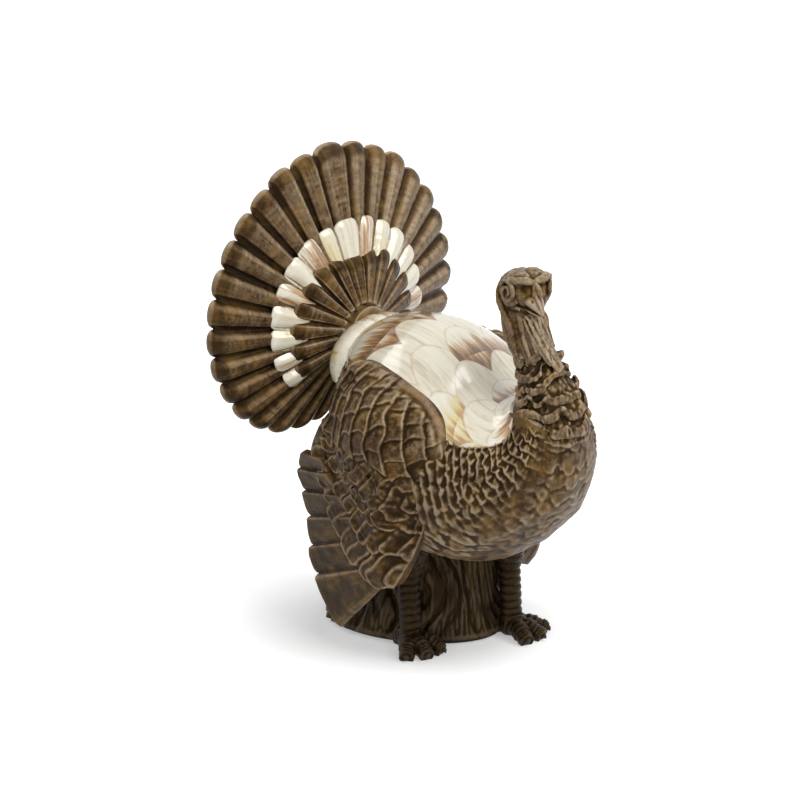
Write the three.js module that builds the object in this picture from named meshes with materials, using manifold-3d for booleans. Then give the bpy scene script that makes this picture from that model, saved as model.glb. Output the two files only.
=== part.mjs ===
// A standing turkey figure in cast and painted resin, in millimetres, with +Z up.
// The bird faces -Y. The origin lies on the table, on the underside of the felt pad.
import * as THREE from "three";
import { mergeVertices } from "three/addons/utils/BufferGeometryUtils.js";
import Module from "manifold-3d";

const wasm = await Module();
wasm.setup();

// Fits
const seatGap = 0.3; // glue line between two castings
const pinGap = 0.3; // around a steel dowel in its hole

// Trunk: the hollow casting of breast, belly, flanks and rump
const standHeight = 48; // table to belly
const trunkHeight = 124; // belly to the top of the back
const trunkLength = 160; // rump to breast
const trunkWidth = 110;
const trunkRear = 36; // rump behind the origin
const trunkWall = 7;
const pourRadius = 11; // opening in the belly over the stump

// Neck and head
const neckHeight = 48; // neck joint to head seat
const neckSetback = 15; // head seat behind the neck joint
const neckLean = 4; // head seat towards the bird's right
const neckTopRadius = 10.5;
const neckFlow = 12; // how far the neck keeps the direction of its two ends
const ruffleRows = 6;
const ruffleDepth = 1.8;
const headWidth = 25;
const headLength = 28;
const headHeight = 21;
const headRise = 13.9; // middle of the head above its seat
const headTurn = 21; // degrees towards the bird's right
const headNod = 4; // degrees down
const throatRadius = 9;
const beakLength = 14;
const beakRadius = 5;
const browRadius = 2.6;
const snoodRadius = 1.8;
const wattleRadius = 2.8;

// Enamelled back
const saddleThickness = 2.6;
const saddleHalfWidth = 43;
const saddleForward = 20; // rear end of the saddle ahead of the rump
const saddleLength = 106;
const rollWidth = 52; // arch over the rump, along the middle of its tube
const rollArch = 19;
const rollTube = 9;
const rollForward = 9; // plane of the arch ahead of the rump
const rollDrop = 4; // springing of the arch below the middle of the rump
const rollArc = 100; // degrees to each side of the top

// Tail
const fanCount = 31;
const fanSpread = 332; // degrees
const fanRadius = 94.5;
const fanLowShare = 0.48; // how much shorter the lowest feathers are
const fanSetback = 4; // middle of the fan behind the rump
const fanRise = 12; // and above the middle of the rump
const fanSweep = 21.5; // rim behind the root
const fanThickness = 4.4;
const fanRidge = 3.4;
const fanBackRidge = 2.4;
const fanTipRound = 7;
const bandCount = 17;
const bandSpread = 248;
const bandRadius = 57.5;
const bandThickness = 1.4;
const bandRidge = 1.6;
const bandTipRound = 4;
const innerCount = 15;
const innerSpread = 244;
const innerRadius = 40;
const innerThickness = 3.2;
const innerRidge = 1.8;
const innerTipRound = 3.5;
const hubRadius = 12;
const hubTail = 5; // hub behind the fan

// Wings
const shoulderForward = 70; // middle of the shoulder ahead of the rump
const shoulderRise = 73; // and above the belly
const shoulderProud = 12.5; // outermost point outside the trunk
const shoulderBulge = 17.5;
const shoulderHalfLength = 34;
const shoulderHalfHeight = 41;
const shoulderLean = 14; // degrees, top towards the tail
const shoulderSkirt = 6; // how steeply the shoulder falls away past its rim
const shoulderBlend = 3; // soft change from the shoulder to the rows below it
const covertLength = 85; // the whole outline of the coverts
const covertHeight = 114;
const covertRim = 6; // depth of their rim
const covertLap = 3.2; // coverts outside the flight feathers
const covertSlack = 7; // less of it at the top
const quillCount = 6;
const quillReach = 66.5; // furthest tips behind the middle of the shoulder
const quillDrop = 105; // lowest tip below the middle of the shoulder
const quillProud = 5; // roots outside the trunk
const quillTuck = 9; // tips are this much nearer to the middle of the bird
const quillThickness = 4;
const quillRidge = 1.8;
const quillTipRound = 3;
const quillLowRound = 5; // the lowest tip is the roundest
const leftDrop = 7; // the left wing hangs this much lower at its foot
const hangFrom = 16; // below the middle of the shoulder
const hangDepth = 60;
const hangRear = 57; // behind the middle of the shoulder
const hangLength = 40;

// Legs and feet
const legInset = 28.5; // middle of each leg inside the trunk's side
const rightLegBack = -25.5;
const leftLegBack = -47.5;
const shankRadius = 5.6;
const thighRadius = 11;
const scuteCount = 6;
const footHeight = 11;
const toeLength = 18.5;
const toeRadius = 3.9;
const toeSplay = 34; // degrees between the toes
const hindToeLength = 11;

// Stump, pad and dowels
const stumpBack = 4.2; // centre of the stump behind the origin
const stumpAside = 3.6; // and to the bird's left
const stumpTurn = 23; // degrees, front end towards the left foot
const stumpWidth = 68;
const stumpLength = 93;
const stumpTopShare = 0.35; // of its foot's size, inside the trunk
const stumpLean = 10; // top ahead of the foot
const stumpGrooves = 14;
const grooveDepth = 1.6;
const padThickness = 2;
const padInset = 2.5;
const plugThickness = 4;
const plugLedge = 2; // seat of the plug around the pour hole
const dowelRadius = 2.5;
const neckDowelLength = 34;
const headDowelLength = 18;
const tailDowelLength = 30;
const tailDowelSpacing = 11;
const wingDowelLength = 13;
const wingDowelSpacing = 24;
const legRodRadius = 1.8;

const resin = new THREE.MeshStandardMaterial({ color: 0x5a4838, roughness: 0.6, metalness: 0.1 });
const enamel = new THREE.MeshStandardMaterial({ color: 0xe9e2cd, roughness: 0.2, metalness: 0 });
const steel = new THREE.MeshStandardMaterial({ color: 0x9a9a98, roughness: 0.35, metalness: 1 });
const felt = new THREE.MeshStandardMaterial({ color: 0x2c2a28, roughness: 1, metalness: 0 });

const sideways = new THREE.Vector3(1, 0, 0);
const upright = new THREE.Vector3(0, 0, 1);
const radians = THREE.MathUtils.degToRad;
const ease = (t) => THREE.MathUtils.smoothstep(t, 0, 1);
const mix = THREE.MathUtils.lerp;
const clamp = THREE.MathUtils.clamp;

// Turns a closed three.js geometry into a solid, after moving each vertex by place.
function solid(geometry, place = (point) => point) {
  const loose = geometry.index ? geometry.toNonIndexed() : geometry.clone();
  loose.deleteAttribute("normal");
  loose.deleteAttribute("uv");
  const position = loose.getAttribute("position");
  const point = new THREE.Vector3();
  for (let i = 0; i < position.count; i++) {
    const moved = place(point.fromBufferAttribute(position, i));
    position.setXYZ(i, moved.x, moved.y, moved.z);
  }
  const welded = mergeVertices(loose, 1e-3);
  const triangles = [];
  for (let i = 0; i < welded.index.count; i += 3) {
    const [a, b, c] = [0, 1, 2].map((k) => welded.index.getX(i + k));
    if (a !== b && b !== c && c !== a) triangles.push([a, b, c]);
  }
  const build = (faces) =>
    new wasm.Manifold(
      new wasm.Mesh({
        numProp: 3,
        vertProperties: welded.getAttribute("position").array,
        triVerts: new Uint32Array(faces.flat()),
      }),
    );
  const made = build(triangles);
  return made.volume() > 0 ? made : build(triangles.map(([a, b, c]) => [a, c, b]));
}

const cut = (piece, ...others) => others.reduce((rest, other) => rest.subtract(other), piece);
const join = (first, ...others) => others.reduce((sum, other) => sum.add(other), first);

// The largest closed body of a solid, without the crumbs that a cut leaves.
function mainBody(piece) {
  return piece.decompose().reduce((a, b) => (b.volume() > a.volume() ? b : a));
}

function mesh(name, piece, material) {
  const { vertProperties, triVerts } = mainBody(piece).getMesh();
  const geometry = new THREE.BufferGeometry();
  geometry.setAttribute("position", new THREE.BufferAttribute(vertProperties, 3));
  geometry.setIndex(new THREE.BufferAttribute(triVerts, 1));
  geometry.computeVertexNormals();
  const made = new THREE.Mesh(geometry, material.clone());
  made.name = name;
  return made;
}

// A tube along a curve. radiusAt(t, angle) gives its section; angle 0 points along the across axis.
function sweep(curve, radiusAt, sides, steps, across = sideways) {
  return solid(new THREE.CylinderGeometry(1, 1, 1, sides, steps), (vertex) => {
    const t = vertex.y + 0.5;
    const angle = Math.atan2(vertex.z, vertex.x);
    const reach = Math.hypot(vertex.x, vertex.z) * radiusAt(t, angle);
    const tangent = curve.getTangent(t);
    const second = new THREE.Vector3().crossVectors(tangent, across).normalize();
    const first = new THREE.Vector3().crossVectors(second, tangent).normalize();
    return curve
      .getPoint(t)
      .addScaledVector(first, reach * Math.cos(angle))
      .addScaledVector(second, reach * Math.sin(angle));
  });
}

// A round pin between two points.
function pin(from, to, radius, sides = 12) {
  return sweep(new THREE.LineCurve3(from, to), () => radius, sides, 1, pinSide(from, to));
}

function pinSide(from, to) {
  const along = new THREE.Vector3().subVectors(to, from).normalize();
  return Math.abs(along.dot(sideways)) > 0.9 ? upright : sideways;
}

// A pin of a given length through the middle of a joint, along its direction.
function dowelAt(centre, direction, length, radius) {
  const from = centre.clone().addScaledVector(direction, -length / 2);
  const to = centre.clone().addScaledVector(direction, length / 2);
  return pin(from, to, radius);
}

function ellipsoid(centre, half, sides, rings) {
  return solid(new THREE.SphereGeometry(1, sides, rings), (vertex) => vertex.multiply(half).add(centre));
}

// Trunk. Each row is one cross-section from the rump to the neck joint, as shares of the trunk's
// length, height and half width: top along, top up, bottom along, bottom up, half width.
const trunkRows = [
  [0.012, 0.88, 0.0, 0.68, 0.27],
  [0.075, 0.92, 0.038, 0.48, 0.5],
  [0.162, 0.97, 0.112, 0.26, 0.75],
  [0.288, 1.0, 0.238, 0.08, 0.93],
  [0.412, 0.985, 0.412, 0.008, 1.0],
  [0.525, 0.92, 0.6, 0.012, 0.99],
  [0.615, 0.84, 0.775, 0.12, 0.9],
  [0.69, 0.8, 0.905, 0.29, 0.74],
  [0.74, 0.8, 0.975, 0.5, 0.55],
  [0.77, 0.83, 0.985, 0.735, 0.34],
];
const trunkPoint = (along, up) =>
  new THREE.Vector3(0, trunkRear - along * trunkLength, standHeight + up * trunkHeight);
const trunkTop = new THREE.CatmullRomCurve3(trunkRows.map((row) => trunkPoint(row[0], row[1])));
const trunkBottom = new THREE.CatmullRomCurve3(trunkRows.map((row) => trunkPoint(row[2], row[3])));
const trunkHalf = new THREE.CatmullRomCurve3(
  trunkRows.map((row) => new THREE.Vector3((row[4] * trunkWidth) / 2, 0, 0)),
);
const endFade = 0.08; // share of the trunk over which its two ends move out as it grows

function trunkSection(t) {
  const top = trunkTop.getPoint(t);
  const bottom = trunkBottom.getPoint(t);
  const centre = top.clone().add(bottom).multiplyScalar(0.5);
  const up = top.clone().sub(bottom);
  const halfHeight = up.length() / 2;
  up.normalize();
  const forward = new THREE.Vector3().crossVectors(sideways, up);
  return { centre, up, forward, halfHeight, halfWidth: trunkHalf.getPoint(t).x };
}

function trunkSurface(t, angle, grow, share = 1) {
  const { centre, up, forward, halfHeight, halfWidth } = trunkSection(t);
  const ends = ease(Math.max(0, 1 - (1 - t) / endFade)) - ease(Math.max(0, 1 - t / endFade));
  return centre
    .addScaledVector(forward, grow * ends)
    .addScaledVector(up, share * (halfHeight + grow) * Math.cos(angle))
    .addScaledVector(sideways, share * (halfWidth + grow) * Math.sin(angle));
}

function trunkForm(grow, from = 0, to = 1, sides = 28, rings = 18) {
  return solid(new THREE.CylinderGeometry(1, 1, 1, sides, rings), (vertex) => {
    const angle = Math.atan2(vertex.x, vertex.z);
    const share = Math.hypot(vertex.x, vertex.z);
    return trunkSurface(mix(from, to, vertex.y + 0.5), angle, grow, share);
  });
}

// The point of one part of the trunk's surface that lies nearest to a place, by the miss function.
function trunkNearest(fromAngle, toAngle, miss) {
  let best = null;
  for (let i = 0; i <= 120; i++) {
    for (let k = 0; k <= 60; k++) {
      const point = trunkSurface(i / 120, mix(fromAngle, toAngle, k / 60), 0);
      const distance = miss(point);
      if (!best || distance < best.distance) best = { point, distance };
    }
  }
  return best.point;
}
const bellyHeight = (x, y) =>
  trunkNearest(Math.PI / 2, (3 * Math.PI) / 2, (point) => Math.hypot(point.x - x, point.y - y)).z;
const flankReach = (y, z) => trunkNearest(0, Math.PI, (point) => Math.hypot(point.y - y, point.z - z)).x;

const trunk = trunkForm(0);
const trunkClear = trunkForm(seatGap);
const joint = trunkSection(1);

// Neck: a tapering sweep from the trunk's joint face to the head seat, with ruffled feather rows.
const headSeat = joint.centre.clone().add(new THREE.Vector3(-neckLean, neckSetback, neckHeight));
const headSeatLean = new THREE.Vector3(0, 0.3, 1).normalize();
function neckCurve(gap) {
  const foot = joint.centre.clone().addScaledVector(joint.forward, gap);
  return new THREE.CubicBezierCurve3(
    foot,
    foot.clone().addScaledVector(joint.forward, neckFlow),
    headSeat.clone().addScaledVector(headSeatLean, -neckFlow),
    headSeat,
  );
}
function neckRadius(t, angle) {
  const foot = Math.hypot(joint.halfWidth * Math.cos(angle), joint.halfHeight * Math.sin(angle));
  const row = t * (ruffleRows + 3);
  const flare = row < ruffleRows ? 1 - (row % 1) : 0;
  return mix(foot, neckTopRadius, ease(Math.min(1, t * 1.45))) + ruffleDepth * flare * (1 - t);
}
const neckForm = (grow, gap) =>
  sweep(neckCurve(gap), (t, angle) => neckRadius(t, angle) + grow, 20, 24);

// Head, modelled facing -Y at its own centre, then turned and nodded on to the neck.
const headCentre = headSeat
  .clone()
  .addScaledVector(headSeatLean, headRise)
  .add(new THREE.Vector3(0, -headLength * 0.05, 0));
const headPlace = new THREE.Matrix4()
  .makeTranslation(headCentre)
  .multiply(new THREE.Matrix4().makeRotationZ(-radians(headTurn)))
  .multiply(new THREE.Matrix4().makeRotationX(radians(headNod)));
const onHead = (x, y, z) => new THREE.Vector3(x, y, z).applyMatrix4(headPlace);
const beakRoot = -headLength * 0.36;

function headForm(grow) {
  const half = new THREE.Vector3(headWidth, headLength, headHeight).multiplyScalar(0.5).addScalar(grow);
  const skull = solid(new THREE.SphereGeometry(1, 18, 12), (vertex) =>
    vertex.multiply(half).applyMatrix4(headPlace),
  );
  const beakCurve = new THREE.QuadraticBezierCurve3(
    onHead(0, beakRoot, -beakRadius * 0.2),
    onHead(0, beakRoot - beakLength * 0.6, -beakRadius * 0.4),
    onHead(0, beakRoot - beakLength, -beakRadius * 1.15),
  );
  const beak = sweep(beakCurve, (t) => (beakRadius + grow) * mix(1, 0.2, t), 10, 4);
  const brow = sweep(
    new THREE.QuadraticBezierCurve3(
      onHead(-headWidth * 0.42, -headLength * 0.12, headHeight * 0.36),
      onHead(0, -headLength * 0.8, headHeight * 0.28),
      onHead(headWidth * 0.42, -headLength * 0.12, headHeight * 0.36),
    ),
    (t) => browRadius * Math.sin(Math.PI * mix(0.2, 0.8, t)) + grow,
    8,
    6,
    upright,
  );
  const throat = pin(headSeat, onHead(0, 0, 0), throatRadius + grow, 16);
  return join(skull, beak, brow, throat);
}

// Fleshy folds of the throat, laid on the front of the neck, and the snood beside the beak.
function neckFront(t, angle, lift) {
  const curve = neckCurve(seatGap);
  const tangent = curve.getTangent(t);
  const second = new THREE.Vector3().crossVectors(tangent, sideways).normalize();
  const reach = neckRadius(t, angle) + lift;
  return curve
    .getPoint(t)
    .addScaledVector(sideways, reach * Math.cos(angle))
    .addScaledVector(second, reach * Math.sin(angle));
}
const throatAngle = -Math.PI / 2;
function wattleForm(grow) {
  const high = 0.9;
  const fold = (from, to, low) =>
    sweep(
      new THREE.CatmullRomCurve3([
        onHead(0, beakRoot * 0.6, -headHeight * 0.45),
        neckFront(high, throatAngle + from, wattleRadius * 0.6),
        neckFront(mix(high, low, 0.5), throatAngle + mix(from, to, 0.5), wattleRadius * 0.45),
        neckFront(low, throatAngle + to, wattleRadius * 0.35),
      ]),
      (t) => wattleRadius * (0.55 + 0.45 * Math.sin(Math.PI * mix(0.15, 0.9, t))) + grow,
      8,
      8,
    );
  return join(fold(-0.85, -0.1, 0.5), fold(-0.35, 0.3, 0.56));
}
function snoodForm() {
  return sweep(
    new THREE.CatmullRomCurve3([
      onHead(headWidth * 0.03, -headLength * 0.47, headHeight * 0.28),
      onHead(headWidth * 0.12, -headLength * 0.57, headHeight * 0.2),
      onHead(headWidth * 0.22, -headLength * 0.59, 0),
      onHead(headWidth * 0.24, -headLength * 0.58, -headHeight * 0.2),
      onHead(headWidth * 0.23, -headLength * 0.56, -headHeight * 0.36),
    ]),
    (t) => snoodRadius * mix(1, 0.6, t),
    8,
    8,
  );
}

// Tail layers: radial plates on one shallow cone. Each feather is a lobe with a ridge down its middle.
const rumpFace = trunkSection(0);
const fanRootUp = rumpFace.centre.z + fanRise;
const fanCone = (r) => rumpFace.centre.y + fanSetback + (fanSweep * r) / fanRadius;
function lobes(count, share) {
  const place = (share + 0.5) * count;
  return Math.min(1, Math.abs(2 * (place - Math.floor(place)) - 1));
}
function tailPlate(plate) {
  const { count, spread, inner, tip, tipRound, front, thickness, ridge, backRidge, sides, steps } = plate;
  const box = new THREE.BoxGeometry(1, 1, 1, count * sides, 1, steps);
  return solid(box, ({ x, y, z }) => {
    const angle = radians(spread) * x;
    const off = lobes(count, x);
    const end = tip(Math.abs(2 * x)) - tipRound * (1 - Math.sqrt(1 - 0.96 * off * off));
    const r = mix(inner, end, z + 0.5);
    const crown = 1 - off * off;
    const back = fanCone(r) - front + (y > 0 ? -thickness - ridge * crown : backRidge * crown);
    return new THREE.Vector3(r * Math.sin(angle), back, fanRootUp + r * Math.cos(angle));
  });
}
const plateBore = hubRadius + seatGap;
const fanFront = fanRidge + seatGap; // from the cone to the back of the layers in front
const tailFan = tailPlate({
  count: fanCount,
  spread: fanSpread,
  inner: plateBore,
  tip: (low) => fanRadius * (1 - fanLowShare * low ** 3.5),
  tipRound: fanTipRound,
  front: -fanThickness,
  thickness: fanThickness,
  ridge: fanRidge,
  backRidge: fanBackRidge,
  sides: 4,
  steps: 2,
});
const innerPlate = {
  count: innerCount,
  spread: innerSpread,
  inner: plateBore,
  tip: () => innerRadius,
  tipRound: innerTipRound,
  front: fanFront,
  thickness: innerThickness,
  ridge: innerRidge,
  backRidge: 0,
  sides: 4,
  steps: 1,
};
const innerFan = tailPlate(innerPlate);
const tailBand = tailPlate({
  count: bandCount,
  spread: bandSpread,
  inner: innerRadius + seatGap,
  tip: () => bandRadius,
  tipRound: bandTipRound,
  front: fanFront,
  thickness: bandThickness,
  ridge: bandRidge,
  backRidge: 0,
  sides: 4,
  steps: 1,
});
const hubCentre = new THREE.Vector3(0, 0, fanRootUp);
const hubFrontY = fanCone(0) - fanFront - innerThickness;
const hubBackY = fanCone(plateBore) + fanThickness + hubTail;
const tailHub = pin(
  hubCentre.clone().setY(hubFrontY),
  hubCentre.clone().setY(hubBackY),
  hubRadius,
  28,
);

// Enamelled roll over the rump: an arch that tapers into the flanks.
const rollCurve = new THREE.CatmullRomCurve3(
  [-1, -0.67, -0.33, 0, 0.33, 0.67, 1].map((share) => {
    const angle = radians(rollArc * share);
    return new THREE.Vector3(
      (rollWidth / 2) * Math.sin(angle),
      rumpFace.centre.y - rollForward,
      rumpFace.centre.z - rollDrop + rollArch * Math.cos(angle),
    );
  }),
);
const rollForm = (grow) =>
  sweep(
    rollCurve,
    (t) => rollTube * (0.45 + 0.55 * Math.sin(Math.PI * mix(0.1, 0.9, t))) + grow,
    12,
    14,
    new THREE.Vector3(0, 1, 0),
  );

// Enamelled saddle: a shell on the back, trimmed by an upright prism with a rounded plan.
function saddlePrism() {
  const rear = rumpFace.centre.y - saddleForward;
  const front = rear - saddleLength;
  const middle = mix(rear, front, 0.5);
  const shoulder = mix(rear, front, 0.28);
  const collar = mix(rear, front, 0.8);
  const half = saddleHalfWidth;
  const plan = new THREE.Shape();
  plan.moveTo(0, rear);
  plan.bezierCurveTo(-half, rear, -half, shoulder, -half, middle);
  plan.bezierCurveTo(-half, collar, -half / 2, front, 0, front);
  plan.bezierCurveTo(half / 2, front, half, collar, half, middle);
  plan.bezierCurveTo(half, shoulder, half, rear, 0, rear);
  const depth = trunkHeight;
  const prism = new THREE.ExtrudeGeometry(plan, { depth, bevelEnabled: false, curveSegments: 10 });
  prism.translate(0, 0, standHeight + trunkHeight * 0.5);
  return solid(prism);
}

// Wings. side is -1 for the bird's right and 1 for its left.
const shoulderBack = rumpFace.centre.y - shoulderForward;
const shoulderUp = standHeight + shoulderRise;
const halfTrunk = trunkWidth / 2;

// The left wing hangs a little lower at its foot than the right one.
function wingPoint(side, reach, back, up) {
  const low = ease((shoulderUp - hangFrom - up) / hangDepth);
  const ahead = ease((shoulderBack + hangRear - back) / hangLength);
  return new THREE.Vector3(side * reach, back, side > 0 ? up - leftDrop * low * ahead : up);
}

// Side outline of the coverts about the middle of the shoulder, as shares of their length and height,
// and how far out their rim stands, as a share of the trunk's half width.
const covertOutline = new THREE.CatmullRomCurve3(
  [
    [0.28, 0.33, 0.67],
    [0.4, 0.31, 0.71],
    [0.47, 0.23, 0.78],
    [0.51, 0.04, 0.87],
    [0.55, -0.06, 0.93],
    [0.6, -0.22, 0.97],
    [0.49, -0.34, 1.02],
    [0.33, -0.48, 1.04],
    [0.2, -0.61, 1.04],
    [-0.02, -0.68, 1],
    [-0.14, -0.55, 0.94],
    [-0.25, -0.39, 0.89],
    [-0.34, -0.23, 0.86],
    [-0.4, 0, 0.83],
    [-0.38, 0.12, 0.78],
    [-0.25, 0.19, 0.74],
    [-0.05, 0.25, 0.7],
    [0.13, 0.3, 0.68],
  ].map(([back, up, out]) => {
    const y = shoulderBack + back * covertLength;
    return new THREE.Vector3(y, shoulderUp + up * covertHeight, out * halfTrunk);
  }),
  true,
);
const covertCore = new THREE.Vector2(
  shoulderBack + 0.08 * covertLength,
  shoulderUp - 0.11 * covertHeight,
);
const covertRound = { rear: 0.58, front: 0.4 }; // share of a spoke where the coverts turn to their rim

// How far out the coverts stand: a leaning shoulder dome that runs into a flat plate of feather rows.
function covertReach(back, up) {
  const lean = radians(shoulderLean);
  const y = back - shoulderBack;
  const z = up - shoulderUp;
  const along = (y * Math.cos(lean) - z * Math.sin(lean)) / shoulderHalfLength;
  const high = (y * Math.sin(lean) + z * Math.cos(lean)) / shoulderHalfHeight;
  const inside = 1 - along * along - high * high;
  const rim = halfTrunk + shoulderProud - shoulderBulge;
  const skirt = shoulderSkirt * clamp(-inside, 0, shoulderBlend);
  const dome = rim + shoulderBulge * Math.sqrt(Math.max(0, inside)) - skirt;
  const tuck = quillTuck * clamp(y / quillReach, 0, 1) + covertSlack * ease(z / shoulderHalfHeight);
  const plate = halfTrunk + quillProud + covertLap - tuck;
  return shoulderBlend * Math.log(Math.exp(dome / shoulderBlend) + Math.exp(plate / shoulderBlend));
}
function covertForm(side, grow) {
  return solid(new THREE.SphereGeometry(1, 36, 14), (vertex) => {
    const turn = Math.atan2(vertex.z, vertex.x) / (2 * Math.PI);
    const edge = covertOutline.getPoint(turn < 0 ? turn + 1 : turn);
    const share = Math.min(1, Math.hypot(vertex.x, vertex.z));
    const spoke = new THREE.Vector2(edge.x, edge.y).sub(covertCore);
    const spot = covertCore.clone().addScaledVector(spoke, share * (1 + grow / spoke.length()));
    const ahead = ease((2 * (shoulderBack - edge.x)) / shoulderHalfLength);
    const from = mix(covertRound.rear, covertRound.front, ahead);
    const late = clamp((share - from) / (1 - from), 0, 1);
    const fall = 1 - Math.sqrt(1 - late ** 2.4);
    const outer = mix(covertReach(spot.x, spot.y), edge.z, fall) + grow;
    const inner = mix(halfTrunk, edge.z, share) - covertRim - grow;
    return wingPoint(side, vertex.y > -1e-6 ? outer : inner, spot.x, spot.y);
  });
}

// Side outline of the flight feathers: where the edges of their roots and tips lie behind and above the
// middle of the shoulder, as shares of their reach and drop.
const quillRoots = new THREE.SplineCurve([
  new THREE.Vector2(0.59, -0.13),
  new THREE.Vector2(0.53, -0.2),
  new THREE.Vector2(0.39, -0.29),
  new THREE.Vector2(0.26, -0.38),
  new THREE.Vector2(0.12, -0.48),
  new THREE.Vector2(-0.01, -0.6),
  new THREE.Vector2(-0.09, -0.69),
]);
const quillTips = new THREE.SplineCurve([
  new THREE.Vector2(0.94, -0.16),
  new THREE.Vector2(1, -0.27),
  new THREE.Vector2(0.95, -0.38),
  new THREE.Vector2(0.9, -0.51),
  new THREE.Vector2(0.87, -0.66),
  new THREE.Vector2(0.83, -0.81),
  new THREE.Vector2(0.75, -1),
]);
const quillSize = new THREE.Vector2(quillReach, quillDrop);
function quillForm(side, grow) {
  const box = new THREE.BoxGeometry(1, 1, 1, quillCount * 4, 1, 2);
  return solid(box, ({ x, y, z }) => {
    const across = clamp(x + 0.5, 0, 1);
    const off = lobes(quillCount, x);
    const root = quillRoots.getPoint(across).multiply(quillSize);
    const tip = quillTips.getPoint(across).multiply(quillSize);
    const span = root.distanceTo(tip);
    const round = mix(quillTipRound, quillLowRound, across ** 4) * Math.sqrt(1 - 0.96 * off * off);
    const along = mix(-grow / span, 1 + (grow + round) / span, z + 0.5);
    const place = root.lerp(tip, along);
    const crown = quillRidge * (1 - off * off);
    const outer = halfTrunk + quillProud - quillTuck * along;
    const reach = y > 0 ? outer + crown + grow : outer - quillThickness - grow;
    return wingPoint(side, reach, shoulderBack + place.x, shoulderUp + place.y - 2 * grow * x);
  });
}

// Legs and feet
const legBack = { [-1]: rightLegBack, 1: leftLegBack };
const legAside = trunkWidth / 2 - legInset;
const legFoot = (side, up) => new THREE.Vector3(side * legAside, legBack[side], up);
const legBelly = (side) => bellyHeight(side * legAside, legBack[side]);
function legForm(side, grow) {
  const top = legBelly(side) + trunkWall;
  const shank = (t) => {
    const scute = 0.06 * Math.cos(2 * Math.PI * scuteCount * t * 1.4);
    return mix(shankRadius * (1 + scute), thighRadius, ease(Math.max(0, (t - 0.55) / 0.45)));
  };
  return sweep(new THREE.LineCurve3(legFoot(side, 0), legFoot(side, top)), (t) => shank(t) + grow, 12, 14);
}
function footForm(side, grow) {
  const heel = legFoot(side, footHeight * 0.5);
  const aim = radians(-90 + side * 16);
  const toe = (turn, length) => {
    const way = new THREE.Vector3(Math.cos(aim + turn), Math.sin(aim + turn), 0);
    const knuckle = heel.clone().addScaledVector(way, length * 0.55).setZ(toeRadius * 1.25);
    const tip = heel.clone().addScaledVector(way, length).setZ(toeRadius * 0.55);
    return sweep(
      new THREE.QuadraticBezierCurve3(heel, knuckle, tip),
      (t) => toeRadius * (1.15 - 0.45 * t + 0.08 * Math.cos(6 * Math.PI * t)) + grow,
      8,
      6,
      upright,
    );
  };
  const splay = radians(toeSplay);
  const ball = new THREE.Vector3(1, 1, 0.95).multiplyScalar(footHeight * 0.56 + grow);
  const pad = ellipsoid(heel, ball, 14, 8);
  const toes = [-splay, 0, splay].map((turn) => toe(turn, toeLength));
  const foot = join(pad, ...toes, toe(Math.PI, hindToeLength));
  const under = new THREE.BoxGeometry(4 * toeLength, 4 * toeLength, footHeight);
  under.translate(heel.x, heel.y, -footHeight / 2 - grow);
  return foot.subtract(solid(under));
}

// Stump with bark grooves, standing on its pad
const onStump = (x, y, z) =>
  new THREE.Vector3(x, y, z)
    .applyAxisAngle(upright, radians(stumpTurn))
    .add(new THREE.Vector3(stumpAside, stumpBack, 0));
function stumpForm(grow) {
  const top = standHeight + trunkHeight * 0.55;
  return solid(new THREE.CylinderGeometry(1, 1, 1, stumpGrooves * 4, 6), (vertex) => {
    const t = vertex.y + 0.5;
    const angle = Math.atan2(vertex.z, vertex.x);
    const share = Math.hypot(vertex.x, vertex.z);
    const scale = mix(1, stumpTopShare, t ** 1.5);
    const groove = grooveDepth * Math.cos(stumpGrooves * angle) * (1 - 0.4 * t);
    const wide = share * ((stumpWidth / 2) * scale - grooveDepth + groove + grow);
    const long = share * ((stumpLength / 2) * scale - grooveDepth + groove + grow);
    const height = mix(padThickness + seatGap, top, t);
    return onStump(wide * Math.cos(angle), long * Math.sin(angle) - stumpLean * t, height);
  });
}
function padForm() {
  const wide = stumpWidth / 2 - padInset;
  const long = stumpLength / 2 - padInset;
  return solid(new THREE.CylinderGeometry(1, 1, 1, 40, 1), ({ x, y, z }) =>
    onStump(x * wide, z * long, (y + 0.5) * padThickness),
  );
}
const stumpPin = (radius, low, high) => pin(onStump(0, 0, low), onStump(0, 0, high), radius, 24);

// Dowels, each with its hole a little larger all round
const steelPin = ({ centre, direction, length }) => dowelAt(centre, direction, length, dowelRadius);
const pinHole = ({ centre, direction, length }) =>
  dowelAt(centre, direction, length + 2 * pinGap, dowelRadius + pinGap);
const neckPin = { centre: joint.centre, direction: joint.forward, length: neckDowelLength };
const headPin = { centre: headSeat, direction: headSeatLean, length: headDowelLength };
const backward = new THREE.Vector3(0, 1, 0);
const tailPin = (side) => ({
  centre: new THREE.Vector3((side * tailDowelSpacing) / 2, rumpFace.centre.y, fanRootUp - hubRadius * 0.45),
  direction: backward,
  length: tailDowelLength,
});
function wingPin(side, level) {
  const up = shoulderUp + (level * wingDowelSpacing) / 2;
  const centre = new THREE.Vector3(side * flankReach(shoulderBack, up), shoulderBack, up);
  return { centre, direction: sideways, length: wingDowelLength };
}
function legRod(side, grow) {
  const low = legFoot(side, footHeight * 0.35 - grow);
  const high = legFoot(side, legBelly(side) + trunkWall * 0.6 + grow);
  return pin(low, high, legRodRadius + grow);
}

// Assembly
const sides = [-1, 1];
const levels = [-1, 1];
const neckDowelHole = pinHole(neckPin);
const headDowelHole = pinHole(headPin);
const tailHoles = sides.map((side) => pinHole(tailPin(side)));
const wingHoles = sides.flatMap((side) => levels.map((level) => pinHole(wingPin(side, level))));
const dowelHoles = [neckDowelHole, ...tailHoles, ...wingHoles];
const rodHoles = sides.map((side) => legRod(side, pinGap));

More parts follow.
